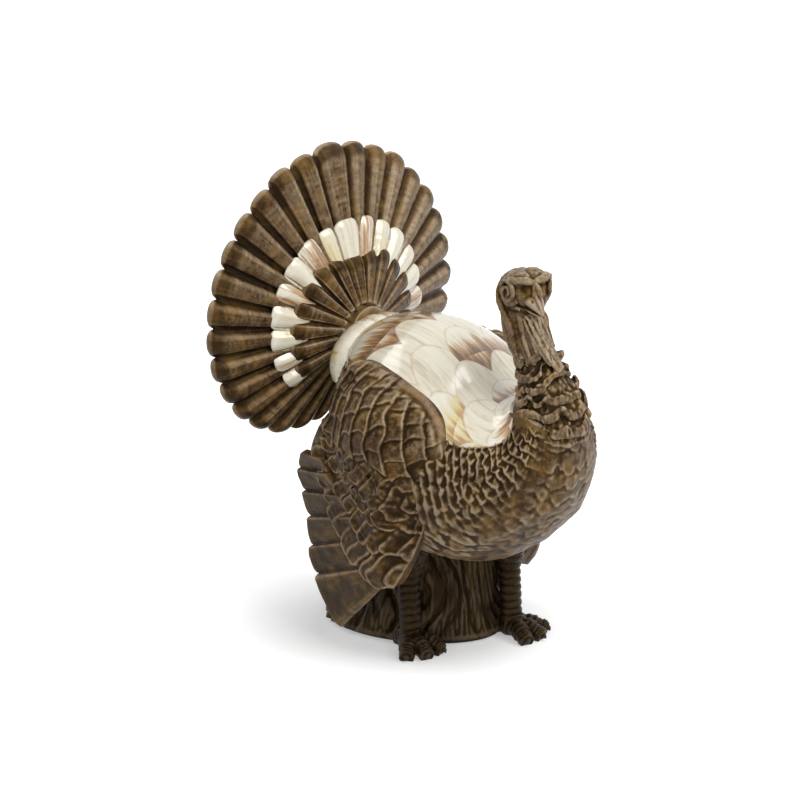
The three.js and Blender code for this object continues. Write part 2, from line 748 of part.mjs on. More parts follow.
const coverts = sides.map((side) => covertForm(side, 0));
const covertsClear = sides.map((side) => covertForm(side, seatGap));
const quillsClear = sides.map((side) => quillForm(side, seatGap));
const legsClear = sides.map((side) => legForm(side, seatGap));
const feetClear = sides.map((side) => footForm(side, seatGap));
const neckClear = neckForm(seatGap, seatGap);
const headClear = headForm(seatGap);
const rollClear = rollForm(seatGap);
const saddleShell = trunkForm(saddleThickness).intersect(saddlePrism());

const innerFanClear = tailPlate({ ...innerPlate, thickness: innerThickness + seatGap });
const pourBore = stumpPin(pourRadius, 0, standHeight + trunkHeight);
const plugLow = padThickness + seatGap;
const plugHigh = plugLow + plugThickness;
const plug = stumpPin(pourRadius + plugLedge, plugLow, plugHigh);
const plugSeat = stumpPin(pourRadius + plugLedge + seatGap, 0, plugHigh + seatGap);

const cavity = trunkForm(-trunkWall, 0.16, 0.76, 20, 10);
const bellyOpening = stumpPin(pourRadius, 0, standHeight + trunkHeight * 0.5);

const turkey = new THREE.Group();
turkey.add(
  mesh("body_shell", cut(trunk, cavity, bellyOpening, ...dowelHoles, ...rodHoles), resin),
  mesh("back_saddle", cut(saddleShell, trunkClear, neckClear, rollClear, ...covertsClear), enamel),
  mesh("rump_roll", cut(rollForm(0), trunkClear, innerFanClear, ...tailHoles), enamel),
  mesh("neck", cut(neckForm(0, seatGap), trunkClear, neckDowelHole, headDowelHole), resin),
  mesh("head", cut(headForm(0), neckClear, headDowelHole), resin),
  mesh("wattle", cut(wattleForm(0), neckClear, headClear), resin),
  mesh("snood", cut(snoodForm(), headClear, neckClear, wattleForm(seatGap)), resin),
  mesh("tail_fan", cut(tailFan, trunkClear), resin),
  mesh("tail_band", cut(tailBand, trunkClear), enamel),
  mesh("tail_inner_fan", cut(innerFan, trunkClear), resin),
  mesh("tail_hub", cut(tailHub, trunkClear, rollClear, ...tailHoles), resin),
  mesh("neck_dowel", steelPin(neckPin), steel),
  mesh("head_dowel", steelPin(headPin), steel),
);
sides.forEach((side, i) => {
  const name = (piece) => `${side < 0 ? "right" : "left"}_${piece}`;
  turkey.add(
    mesh(name("wing_coverts"), cut(coverts[i], trunkClear, ...wingHoles), resin),
    mesh(name("wing_quills"), cut(quillForm(side, 0), trunkClear, covertsClear[i]), resin),
    mesh(name("leg"), cut(legForm(side, 0), trunkClear, feetClear[i], rodHoles[i]), resin),
    mesh(name("foot"), cut(footForm(side, 0), rodHoles[i]), resin),
    mesh(name("leg_rod"), legRod(side, 0), steel),
    mesh(name("tail_dowel"), steelPin(tailPin(side)), steel),
    mesh(name("wing_dowel_low"), steelPin(wingPin(side, -1)), steel),
    mesh(name("wing_dowel_high"), steelPin(wingPin(side, 1)), steel),
  );
});
const stumpNeighbours = [trunkClear, ...legsClear, ...feetClear, ...quillsClear];
turkey.add(
  mesh("stump", cut(stumpForm(0), pourBore, plugSeat, ...stumpNeighbours), resin),
  mesh("base_plug", plug, resin),
  mesh("felt_pad", cut(padForm(), ...feetClear), felt),
);
export default turkey;
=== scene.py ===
from itertools import product
from math import cos, pi, radians, sin, tau

import bmesh
import bpy
import numpy as np
from mathutils import Matrix, Vector


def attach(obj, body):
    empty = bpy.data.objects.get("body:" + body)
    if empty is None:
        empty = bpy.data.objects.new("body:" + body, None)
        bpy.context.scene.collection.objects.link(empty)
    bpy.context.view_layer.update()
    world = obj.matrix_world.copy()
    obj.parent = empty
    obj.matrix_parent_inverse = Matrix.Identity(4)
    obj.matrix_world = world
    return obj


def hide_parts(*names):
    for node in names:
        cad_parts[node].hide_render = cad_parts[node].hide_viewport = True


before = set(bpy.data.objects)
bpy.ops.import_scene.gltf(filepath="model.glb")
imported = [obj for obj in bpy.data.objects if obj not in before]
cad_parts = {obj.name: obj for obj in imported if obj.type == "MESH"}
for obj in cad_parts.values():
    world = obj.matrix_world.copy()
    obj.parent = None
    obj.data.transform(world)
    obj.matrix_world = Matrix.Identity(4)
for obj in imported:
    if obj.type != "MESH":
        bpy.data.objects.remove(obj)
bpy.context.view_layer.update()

# Lengths in this script are millimetres until a mesh is filled; the frame is in metres
mm = 0.001
bothSides = ((-1, "right"), (1, "left"))  # the bird's right is -X
print("frame loaded:", len(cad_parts), "nodes")


# Small sums that the pieces share

def ease(t):
    t = np.clip(t, 0, 1)
    return t * t * (3 - 2 * t)


def mix(a, b, t):
    return a + (b - a) * t


def hump(x, peak, wide):  # a smooth bump, 1 high at its peak
    return np.exp(-((x - peak) / wide) ** 2)


def chance(*keys):  # a repeatable share from 0 to 1 for whole numbers
    turn = sum(np.asarray(key, float) * step for key, step in zip(keys, (127.1, 311.7, 74.7, 191.3)))
    wild = np.sin(turn) * 43758.5453
    return wild - np.floor(wild)


def drift(x, y=0.0, z=0.0, seed=0.0):  # smooth noise from -1 to 1, one swing per unit
    place = np.broadcast_arrays(*(np.asarray(k, float) for k in (x, y, z)))
    cell = [np.floor(k) for k in place]
    blend = [ease(k - c) for k, c in zip(place, cell)]
    total = 0
    for corner in product((0, 1), repeat=3):
        weight = 1
        for step, share in zip(corner, blend):
            weight = weight * (share if step else 1 - share)
        total = total + weight * chance(*(c + step for c, step in zip(cell, corner)), seed)
    return 2 * total - 1


def ringDrift(angle, scale, z, seed):  # the same noise round a ring, without a seam
    return drift(np.cos(angle) * scale, np.sin(angle) * scale, z, seed)


def spotDrift(co, swing, seed):  # the same noise at points in space
    return drift(*np.moveaxis(co / swing, -1, 0), seed)


def spline(stops, t):  # a smooth curve through the stops, t from 0 to 1
    stops = np.asarray(stops, float)
    last = len(stops) - 1
    place = np.clip(np.asarray(t, float), 0, 1) * last
    start = np.minimum(place.astype(int), last - 1)
    f = (place - start)[..., None]
    ends = np.vstack([2 * stops[0] - stops[1], stops, 2 * stops[-1] - stops[-2]])
    a, b, c, d = (ends[start + k] for k in range(4))
    return 0.5 * (2 * b + (c - a) * f + (2 * a - 5 * b + 4 * c - d) * f**2 + (3 * b - a - 3 * c + d) * f**3)


def unit(v):
    return v / np.maximum(np.linalg.norm(v, axis=-1, keepdims=True), 1e-9)


def capped(v, cap):  # place along a piece between its end caps, and how far the caps have opened
    return np.clip((v - cap) / (1 - 2 * cap), 0, 1), np.clip(np.minimum(v, 1 - v) / cap, 0, 1)


def swept(line, first, second, a, b):  # points round a line, a and b along its two side directions
    return line[:, None] + first[:, None] * a[..., None] + second[:, None] * b[..., None]


def outward(surface):  # normals of a grid of points whose columns close on themselves
    wide = np.concatenate([surface[:, -3:-1], surface, surface[:, 1:3]], axis=1)
    around = np.gradient(wide, axis=1)[:, 2:-2]
    return unit(np.cross(around, np.gradient(surface, axis=0)))


def evened(relief):  # spreads each height over its neighbours on a ring of columns
    wide = np.concatenate([relief[:, -2:-1], relief, relief[:, 1:2]], axis=1)
    relief = (wide[:, :-2] + 2 * relief + wide[:, 2:]) / 4
    tall = np.concatenate([relief[:1], relief, relief[-1:]], axis=0)
    return (tall[:-2] + 2 * relief + tall[2:]) / 4


def tiles(row, column, tip):  # overlapping rounded scales: rise to the tip, place across, row and number
    band = np.floor(row)
    f = row - band
    shift = 0.5 * np.mod(band, 2)
    nextShift = 0.5 - shift
    x, nextX = (2 * (column + s - np.floor(column + s)) - 1 for s in (shift, nextShift))
    arc = 1 - tip * x * x
    under = f > arc
    rise = np.where(under, 0.35 * np.clip(f - arc, 0, 1), 0.5 + 0.5 * f / arc)
    number = np.floor(column + np.where(under, nextShift, shift))
    return rise, np.where(under, nextX, x), band + under, number


# Meshes: a flat grid is made with bmesh, then laid on the shape that a piece works out

wearAndShadeMarks = {
    "sealGap": 0.02, "edgePasses": 10, "hollowPasses": 70, "edgeDepth": 0.22, "hollowDepth": 0.75, "top": 0.4,
}


def meshFrom(bm, name):
    mesh = bpy.data.meshes.new(name)
    bm.to_mesh(mesh)
    bm.free()
    return mesh


def linked(name, data):
    made = bpy.data.objects.new(name, data)
    bpy.context.scene.collection.objects.link(made)
    return made


def points(mesh):  # places in millimetres, and normals
    co, normals = (np.empty(len(mesh.vertices) * 3, np.float32) for _ in range(2))
    mesh.vertices.foreach_get("co", co)
    mesh.vertex_normals.foreach_get("vector", normals)
    return co.reshape(-1, 3).astype(float) / mm, normals.reshape(-1, 3).astype(float)


def movePoints(mesh, co):
    mesh.vertices.foreach_set("co", (np.asarray(co) * mm).astype(np.float32).ravel())
    mesh.update()


def addMark(mesh, mark, value):
    value = np.asarray(value, np.float32)
    isVector = value.size == 3 * len(mesh.vertices)
    layer = mesh.attributes.new(mark, "FLOAT_VECTOR" if isVector else "FLOAT", "POINT")
    layer.data.foreach_set("vector" if isVector else "value", value.reshape(-1))


def layGrid(name, grid, shape):
    across, along = grid["across"], grid["along"]
    bm = bmesh.new()
    bmesh.ops.create_grid(bm, x_segments=across, y_segments=along, size=0.5)
    mesh = meshFrom(bm, name)
    flat = np.empty(len(mesh.vertices) * 3, np.float32)
    mesh.vertices.foreach_get("co", flat)
    flat = flat.reshape(along + 1, across + 1, 3).astype(float) + 0.5
    spots, marks = shape(flat[..., 0], flat[..., 1])
    movePoints(mesh, spots)
    for mark, value in marks.items():
        addMark(mesh, mark, value)
    return mesh


def seal(mesh):  # closes seams and poles and turns every face out
    gap = wearAndShadeMarks["sealGap"] * mm
    bm = bmesh.new()
    bm.from_mesh(mesh)
    bmesh.ops.remove_doubles(bm, verts=bm.verts, dist=gap)
    bmesh.ops.dissolve_degenerate(bm, edges=bm.edges, dist=gap * 0.1)
    bmesh.ops.recalc_face_normals(bm, faces=bm.faces)
    bm.to_mesh(mesh)
    bm.free()
    mesh.polygons.foreach_set("use_smooth", np.ones(len(mesh.polygons), bool))
    mesh.update()


def softened(co, edges, passes):
    count = np.bincount(edges.ravel(), minlength=len(co))[:, None]
    soft = co.copy()
    for _ in range(passes):
        total = np.empty_like(soft)
        for k in range(3):
            total[:, k] = np.bincount(edges[:, 0], soft[edges[:, 1], k], len(co))
            total[:, k] += np.bincount(edges[:, 1], soft[edges[:, 0], k], len(co))
        soft = 0.5 * soft + 0.5 * total / np.maximum(count, 1)
    return soft


def markWearAndShade(mesh, passes):  # how far each point stands above the smoothed surface: paint is rubbed off on raised edges, and hollows darken with the dark wash and painted shade
    co, normals = points(mesh)
    edges = np.empty(len(mesh.edges) * 2, np.int32)
    mesh.edges.foreach_get("vertices", edges)
    edges = edges.reshape(-1, 2)
    near = softened(co, edges, passes)
    far = softened(near, edges, wearAndShadeMarks["hollowPasses"])
    addMark(mesh, "edge", np.clip(((co - near) * normals).sum(1) / wearAndShadeMarks["edgeDepth"], -1, 1))
    # The hollow mark darkens recesses: partly the paint's dark wash, partly painted shade
    addMark(mesh, "hollow", np.clip(((co - far) * normals).sum(1) / wearAndShadeMarks["hollowDepth"], -1, wearAndShadeMarks["top"]))


def place(name, mesh, material, node, slot="bronzed_resin", edgePasses=wearAndShadeMarks["edgePasses"]):
    seal(mesh)
    markWearAndShade(mesh, edgePasses)
    mesh.materials.clear()
    mesh.materials.append(material)
    piece = linked(name, mesh)
    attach(piece, "root")
    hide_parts(node)
    print("made", name, len(mesh.polygons), "faces")
    return piece


def layPiece(name, grid, shape, material, node, **more):
    return place(name, layGrid(name, grid, shape), material, node, **more)


# Clay: several closed shapes melted into one skin

clay = {"cap": 0.1, "ballSides": 32, "ballRings": 20, "rub": 0.5}


def tubeMesh(path, radii, flat=1.0, side=(1, 0, 0), sides=24, steps=40):
    def shape(u, v):
        v = v[:, 0]
        along, _ = capped(v, clay["cap"])
        line = spline(path, along)
        ahead = unit(np.gradient(line, axis=0))
        wide = np.vstack([ahead[:1], ahead, ahead[-1:]])
        ahead = unit(wide[:-2] + 2 * ahead + wide[2:])
        second = unit(np.cross(ahead, np.asarray(side, float)))
        first = np.cross(second, ahead)
        radius = spline(np.asarray(radii, float)[:, None], along)[:, 0]
        enter, leave = (np.clip(k / clay["cap"], 0, 1) * pi / 2 for k in (v, 1 - v))
        line = line + ahead * ((np.cos(leave) - np.cos(enter)) * radius)[:, None]
        spread = (radius * np.sin(np.minimum(enter, leave)))[:, None]
        return swept(line, first, second, spread * np.cos(u * tau), spread * flat * np.sin(u * tau)), {}

    return layGrid("clay", {"across": sides, "along": steps}, shape)


def ballMesh(centre, half, tilt=Matrix.Identity(4)):
    bm = bmesh.new()
    bmesh.ops.create_uvsphere(bm, u_segments=clay["ballSides"], v_segments=clay["ballRings"], radius=1)
    grow = Matrix.Diagonal((*(h * mm for h in half), 1))
    bmesh.ops.transform(bm, matrix=Matrix.Translation(Vector(centre) * mm) @ tilt @ grow, verts=bm.verts)
    return meshFrom(bm, "clay")


def meltClay(name, parts, voxel, relief, passes=2):  # one skin over the parts, then a relief worked into it
    bm = bmesh.new()
    for part in parts:
        seal(part)
        bm.from_mesh(part)
        bpy.data.meshes.remove(part)
    mesh = meshFrom(bm, name)
    lump = linked(name, mesh)
    melt = lump.modifiers.new("melt", "REMESH")
    melt.mode = "VOXEL"
    melt.voxel_size = voxel * mm
    rub = lump.modifiers.new("rub", "SMOOTH")
    rub.factor = clay["rub"]
    rub.iterations = passes
    made = bpy.data.meshes.new_from_object(lump.evaluated_get(bpy.context.evaluated_depsgraph_get()))
    bpy.data.objects.remove(lump)
    bpy.data.meshes.remove(mesh)
    made.name = name
    co, normal = points(made)
    movePoints(made, co + normal * relief(co)[:, None])
    return made


# Nodes

def tone(text):  # a colour as written on a paint chart, made linear
    parts = [int(text[k:k + 2], 16) / 255 for k in (1, 3, 5)]
    return [p / 12.92 if p <= 0.04045 else ((p + 0.055) / 1.055) ** 2.4 for p in parts] + [1]


class Nodes:  # the nodes of a material or a world, and short ways to add to them
    def __init__(self, owner):
        owner.use_nodes = True
        self.owner = owner
        self.tree = owner.node_tree
        self.shader = self.tree.nodes.get("Principled BSDF")

    def feed(self, value, socket):  # another node's output, a paint chart colour or a plain value
        if isinstance(value, bpy.types.NodeSocket):
            self.tree.links.new(value, socket)
        else:
            socket.default_value = tone(value) if isinstance(value, str) else value

    def node(self, kind, values=(), **settings):
        made = self.tree.nodes.new("ShaderNode" + kind)
        for key, value in settings.items():
            setattr(made, key, value)
        for socket, value in dict(values).items():
            self.feed(value, made.inputs[socket])
        return made

    def look(self, values):  # sets or links the shader's own sockets
        for socket, value in values.items():
            self.feed(value, self.shader.inputs[socket])

    def sum(self, operation, *values):
        return self.node("Math", enumerate(values), operation=operation).outputs[0]

    def plus(self, *values):
        total = values[0]
        for value in values[1:]:
            total = self.sum("ADD", total, value)
        return total

    def times(self, a, b):
        return self.sum("MULTIPLY", a, b)

    def minus(self, a, b):
        return self.sum("SUBTRACT", a, b)

    def around(self, value, gain):  # noise that swings about zero
        return self.times(self.minus(value, 0.5), gain)

    def mark(self, name, output="Fac"):
        return self.node("Attribute", attribute_name=name).outputs[output]

    def mapped(self, vector, stretch):
        return self.node("Mapping", {"Vector": vector, "Scale": stretch}).outputs[0]

    def coords(self, stretch=(1, 1, 1)):
        return self.mapped(self.node("TexCoord").outputs["Object"], stretch)

    def noise(self, vector, scale, detail=4, rough=0.55, warp=0.0):
        values = {"Vector": vector, "Scale": scale, "Detail": detail, "Roughness": rough, "Distortion": warp}
        return self.node("TexNoise", values).outputs["Fac"]

    def ramp(self, value, paints, *stops):
        made = self.node("ValToRGB", {"Fac": value})
        band = made.color_ramp
        while len(band.elements) < len(stops):
            band.elements.new(0.5)
        for element, (spot, paint) in zip(band.elements, stops):
            element.position = spot
            element.color = tone(paints[paint])
        return made.outputs["Color"]

    def blend(self, share, a, b):
        return self.node("Mix", {"Factor": share, "A": a, "B": b}, data_type="RGBA").outputs["Result"]

    def range(self, value, low, high, to0, to1):
        values = {"Value": value, "From Min": low, "From Max": high, "To Min": to0, "To Max": to1}
        return self.node("MapRange", values).outputs["Result"]

    def bump(self, value, strength, depth):
        made = self.node("Bump", {"Strength": strength, "Distance": depth * mm, "Height": value})
        self.look({"Normal": made.outputs["Normal"]})

    def whiteForCamera(self):
        path = self.node("LightPath").outputs
        seen = self.sum("MAXIMUM", path["Is Camera Ray"], path["Is Glossy Ray"])
        return self.sum("MAXIMUM", seen, path["Is Transmission Ray"])


# Camera at the photograph's place, for a square picture

view = {
    "azimuth": -45, "elevation": 19, "distance": 4000, "nearer": 50, "right": -11, "up": 227,
    "pixels": 800, "mmPerPixel": 0.523, "sensor": 36,
}


def addCamera():
    az, el = radians(view["azimuth"]), radians(view["elevation"])
    right = Vector((cos(az), sin(az), 0))
    back = Vector((sin(az) * cos(el), -cos(az) * cos(el), sin(el)))
    target = (right * view["right"] + back.cross(right) * view["up"]) * view["mmPerPixel"] * mm
    data = bpy.data.cameras.new("camera")
    data.sensor_width = view["sensor"]
    data.lens = view["sensor"] * (view["distance"] - view["nearer"]) / (view["pixels"] * view["mmPerPixel"])
    camera = linked("camera", data)
    camera.location = target + back * view["distance"] * mm
    camera.rotation_euler = back.to_track_quat("Z", "Y").to_euler()
    bpy.context.scene.camera = camera


# Stage: pale floor, white surroundings, soft lamps

lamps = {  # place in metres, size, watts
    "key": ((0.15, -1.0, 1.45), 1.3, 24),
    "left": ((-1.5, -0.75, 0.75), 1.2, 7),
    "rim": ((-0.4, 1.3, 1.3), 1.0, 9),
}
lampAim = (0, 0, 0.11)
surround = {"light": 0.2, "floor": 0.62, "size": 6, "lift": (0.36, 0.9), "liftReach": (0.05, 0.13)}
white = (1, 1, 1, 1)


def addSurround():
    scene = bpy.context.scene
    scene.view_settings.view_transform = "Standard"
    scene.world = bpy.data.worlds.new("studio")
    f = Nodes(scene.world)
    f.tree.nodes.clear()
    lit, seen = (f.node("Background", {"Color": white, "Strength": k}) for k in (surround["light"], 1))
    choose = f.node("MixShader", {0: f.whiteForCamera(), 1: lit.outputs[0], 2: seen.outputs[0]})
    f.node("OutputWorld", {0: choose.outputs[0]})


def addLamps():
    for name, (spot, size, watts) in lamps.items():
        data = bpy.data.lights.new(name, "AREA")
        data.size = size
        data.energy = watts
        lamp = linked(name, data)
        lamp.location = spot
        lamp.rotation_euler = (Vector(lampAim) - Vector(spot)).to_track_quat("-Z", "Y").to_euler()


def addFloor():
    bm = bmesh.new()
    bmesh.ops.create_grid(bm, x_segments=8, y_segments=8, size=surround["size"])
    floor = linked("floor", meshFrom(bm, "floor"))
    f = Nodes(bpy.data.materials.new("palePaper"))
    f.look({"Roughness": 0.9, "Specular IOR Level": 0.1, "Base Color": (surround["floor"],) * 3 + (1,)})
    # The floor's glow for the camera is weak close to the object, a painted shade round its base, and strong
    # farther out, where it paints the cast shadow out to white
    away = f.node("VectorMath", {0: f.node("TexCoord").outputs["Object"]}, operation="LENGTH")
    paler = f.range(away.outputs["Value"], *surround["liftReach"], *surround["lift"])
    glow = f.node("Emission", {"Color": white, "Strength": f.times(f.whiteForCamera(), paler)})
    both = f.node("AddShader", {0: f.shader.outputs[0], 1: glow.outputs[0]})
    f.feed(both.outputs[0], f.tree.nodes["Material Output"].inputs["Surface"])
    floor.data.materials.append(f.owner)


addCamera()
addSurround()
addLamps()
addFloor()
print("camera, floor and lamps placed")


# Finishes

bronze = {
    "recess": "#150e07", "umber": "#2f2214", "brown": "#503d29", "taupe": "#7f6c55", "rubbed": "#b5a48c",
    "gold": "#80622f", "darkPaintAndShade": "#110b06", "glint": "#c09a6a",
    "edgeGain": 0.42, "hollowGain": 0.34, "grainGain": 0.34, "shine": 0.32,
}


def bronzedPaint(name, middle, gloss, gold=0.5, streak=(1, 1, 1), darkPaintAndShade=0.0, mottling=0.6, rub=1.0):
    f = Nodes(bpy.data.materials.new(name))
    where = f.coords()
    mottle = f.noise(f.coords(streak), 190, 6, 0.62)
    grain = f.noise(where, 1100, 3, 0.6)
    patch = f.noise(where, 75, 3, 0.5, 0.4)
    # The tone sums rubbed edges, the dark wash with painted shade in hollows, mottling, grain and the tint
    # mark, which carries painted light and shade on some pieces
    markedTone = f.plus(
        f.times(f.times(f.mark("edge"), f.range(patch, 0.35, 0.6, 0.45, 1.25)), rub * bronze["edgeGain"]),
        f.times(f.mark("hollow"), bronze["hollowGain"]),
        f.around(mottle, mottling),
        f.around(grain, bronze["grainGain"]),
        f.mark("tint"),
        middle,
    )
    stops = (0.05, "recess"), (0.27, "umber"), (0.47, "brown"), (0.68, "taupe"), (0.95, "rubbed")
    colour = f.ramp(markedTone, bronze, *stops)
    spots = f.range(f.plus(patch, f.around(mottle, 0.5)), 0.48, 0.66, 0, gold)
    goldShare = f.times(spots, f.range(markedTone, 0.2, 0.5, 0.35, 1))
    satin = f.plus(grain, f.around(mottle, 0.6))
    f.look({
        # The last blend darkens towards near black: dark paint together with painted shade
        "Base Color": f.blend(darkPaintAndShade, f.blend(goldShare, colour, bronze["gold"]), bronze["darkPaintAndShade"]),
        "Roughness": f.range(satin, 0.3, 0.7, gloss - 0.1, gloss + 0.14),
        "Specular IOR Level": bronze["shine"],
        "Specular Tint": bronze["glint"],
    })
    f.bump(f.plus(f.times(grain, 0.5), f.times(mottle, 0.7)), 0.5, 0.25)
    return f.owner


enamel = {
    "ivory": "#e4dcc5", "cream": "#ece6d4", "shade": "#c9bda6",
    "honey": "#dccb8e", "tan": "#b98f62", "brown": "#73553a",
    "rowLength": 21, "scallopWide": 27, "scallopTip": 0.62,  # the back's painted scallops
    "brownFrom": 0.34, "honeyFrom": 0.7,  # which feather numbers get which paint
}


def strokes(f, vector, seed, drag):  # brush streaks that run along the first axis
    lift = f.node("CombineXYZ", {"Z": f.times(seed, 31.7)}).outputs[0]
    moved = f.node("VectorMath", {0: vector, 1: lift}, operation="ADD").outputs[0]
    return f.noise(f.mapped(moved, drag), 1, 5, 0.6, 0.3)


def glossyCoat(f, paint, wave):
    roughness = f.range(wave, 0.3, 0.7, 0.16, 0.3)
    f.look({"Base Color": paint, "Roughness": roughness, "Specular IOR Level": 0.5})
    f.look({"Coat Weight": 0.9, "Coat Roughness": 0.06})


def brushedEnamel(f, pick, wave, fine, root, pull):  # pick chooses the paint, pull how far the root shows
    body = f.ramp(wave, enamel, (0.3, "shade"), (0.45, "ivory"), (0.62, "cream"), (0.8, "ivory"))
    drag = f.plus(f.times(root, pull), f.around(wave, 2.4 - pull), f.around(fine, 0.8), 0.5 - pull / 2)
    brown = f.ramp(drag, enamel, (0.12, "brown"), (0.4, "tan"), (0.62, "ivory"), (0.8, "cream"))
    honey = f.ramp(drag, enamel, (0.05, "tan"), (0.25, "honey"), (0.6, "ivory"), (0.85, "cream"))
    both = f.blend(f.sum("GREATER_THAN", pick, enamel["brownFrom"]), body, brown)
    return f.blend(f.sum("GREATER_THAN", pick, enamel["honeyFrom"]), both, honey)


def featherEnamel(name):  # scallops across the back, worked out from the piece's own lay mark
    f = Nodes(bpy.data.materials.new(name))
    lay = f.mark("lay", "Vector")
    split = f.node("SeparateXYZ", {0: lay}).outputs
    along = f.times(split["X"], 1 / enamel["rowLength"])
    across = f.times(split["Y"], 1 / enamel["scallopWide"])
    band = f.sum("FLOOR", along)
    share = f.sum("FRACT", along)

    def column(row):
        return f.plus(across, f.times(f.sum("MODULO", f.sum("ABSOLUTE", row), 2), 0.5))

    x = f.minus(f.times(f.sum("FRACT", column(band)), 2), 1)
    arc = f.minus(1, f.times(f.times(x, x), enamel["scallopTip"]))
    past = f.minus(share, arc)
    under = f.sum("GREATER_THAN", past, 0)
    row = f.plus(band, under)
    number = f.node("CombineXYZ", {"X": row, "Y": f.sum("FLOOR", column(row))}).outputs[0]
    pick = f.node("TexWhiteNoise", {"Vector": number}, noise_dimensions="3D").outputs["Value"]
    wave = strokes(f, lay, pick, (0.035, 0.34, 1))
    fine = strokes(f, lay, pick, (0.09, 1.6, 1))
    fromRoot = f.minus(f.plus(share, 0.1), f.times(under, arc))
    paint = brushedEnamel(f, pick, wave, fine, fromRoot, 1.0)
    tip = f.range(f.sum("ABSOLUTE", past), 0.0, 0.07, 0.55, 0)
    outlined = f.blend(f.times(tip, f.range(fine, 0.35, 0.6, 0.2, 1)), paint, enamel["tan"])
    glossyCoat(f, outlined, wave)
    f.bump(f.plus(f.times(fine, 0.4), f.times(under, 0.35)), 0.35, 0.2)
    return f.owner


def streakedEnamel(name):  # each feather keeps its own paint number
    f = Nodes(bpy.data.materials.new(name))
    lay = f.mark("lay", "Vector")
    pick = f.mark("pick")
    wave = strokes(f, lay, pick, (0.025, 0.2, 1))
    fine = strokes(f, lay, pick, (0.05, 1.1, 1))
    paint = brushedEnamel(f, pick, wave, fine, f.mark("root"), 0.25)
    # Darker brown in the deep creases
    markedTone = f.range(f.mark("edge"), -0.9, -0.25, 0.85, 0)
    glossyCoat(f, f.blend(markedTone, paint, enamel["brown"]), wave)
    f.bump(fine, 0.3, 0.15)
    return f.owner


steelTones = {"dark": "#8f8f8d", "light": "#b9b9b6"}
feltTones = {"dark": "#191714", "middle": "#2f2b27", "light": "#4a443d"}


def steelRod(name):
    f = Nodes(bpy.data.materials.new(name))
    lines = f.noise(f.coords((1, 1, 0.05)), 2600, 3)
    colour = f.ramp(lines, steelTones, (0.3, "dark"), (0.7, "light"))
    f.look({"Base Color": colour, "Roughness": f.range(lines, 0.3, 0.7, 0.26, 0.42), "Metallic": 1})
    return f.owner


def darkFelt(name):
    f = Nodes(bpy.data.materials.new(name))
    fibre = f.noise(f.coords(), 1500, 6, 0.7, 1.2)
    colour = f.ramp(fibre, feltTones, (0.3, "dark"), (0.6, "middle"), (0.8, "light"))
    f.look({"Base Color": colour, "Roughness": 0.95, "Sheen Weight": 0.4})
    f.bump(fibre, 0.6, 0.3)
    return f.owner


plumagePaint = bronzedPaint("plumagePaint", 0.39, 0.44)
wingPaint = bronzedPaint("wingPaint", 0.36, 0.54, rub=0.85, mottling=0.65)
fanPaint = bronzedPaint("fanPaint", 0.395, 0.33, gold=0.45, streak=(1, 0.6, 1), mottling=0.5)
# The stump, legs and feet blend far towards the darkest colour: their own dark paint, and painted shade where
# they stand under the body
barkPaint = bronzedPaint("barkPaint", 0.26, 0.45, gold=0.4, streak=(1, 1, 0.35), darkPaintAndShade=0.73)
footPaint = bronzedPaint("footPaint", 0.3, 0.42, gold=0.3, darkPaintAndShade=0.85)
headPaint = bronzedPaint("headPaint", 0.5, 0.3, gold=0.6)
backEnamel = featherEnamel("featherEnamel")
bandEnamel = streakedEnamel("bandEnamel")
rodSteel = steelRod("steelRod")
padFelt = darkFelt("darkFelt")
print("finishes mixed")


# Trunk: ten sections from the rump to the neck joint

trunk = {
    "rear": 36, "length": 160, "stand": 48, "height": 124, "width": 110,
    "rows": [  # back and belly, each along and up, then half width, as shares of the sizes above
        (0.012, 0.88, 0.0, 0.68, 0.27), (0.075, 0.92, 0.038, 0.48, 0.5), (0.162, 0.97, 0.112, 0.26, 0.75),
        (0.288, 1.0, 0.238, 0.08, 0.93), (0.412, 0.985, 0.412, 0.008, 1.0), (0.525, 0.92, 0.6, 0.012, 0.99),
        (0.615, 0.84, 0.775, 0.12, 0.9), (0.69, 0.8, 0.905, 0.29, 0.74), (0.74, 0.8, 0.975, 0.5, 0.55),
        (0.77, 0.83, 0.985, 0.735, 0.34),
    ],
    "across": 372, "along": 262, "cap": 0.03,
    "columnPitch": 0.235, "columnStart": 5.5,  # breast columns, in sections
    "cellFirst": 6.4, "cellGrow": 0.1, "cellFrom": 55,  # degrees of a cell at the back and how it grows
    "thighLeaf": 14, "thighWide": 6,
    "scalePitch": 0.32, "scaleWidth": 12.5, "scaleStart": 9.1, "scaleDepth": 0.62,
    "tuckFront": 3.0, "tuckBelly": 3.6,
}
sections = len(trunk["rows"]) - 1


def trunkSection(t):
    topAlong, topUp, lowAlong, lowUp, half = np.moveaxis(spline(trunk["rows"], t), -1, 0)
    zero = np.zeros_like(topAlong)

    def point(along, up):
        back = trunk["rear"] - along * trunk["length"]
        return np.stack([zero, back, trunk["stand"] + up * trunk["height"]], -1)

    top, low = point(topAlong, topUp), point(lowAlong, lowUp)
    return (top + low) / 2, (top - low) / 2, half * trunk["width"] / 2


def trunkSurface(t, angle, grow=0.0, share=1.0):  # angle 0 is the back, pi the belly
    centre, rise, half = trunkSection(t)
    tall = np.linalg.norm(rise, axis=-1)
    upright = rise * ((share * (tall + grow) * np.cos(angle)) / tall)[..., None]
    aside = np.zeros_like(centre)
    aside[..., 0] = share * (half + grow) * np.sin(angle)
    return centre + upright + aside


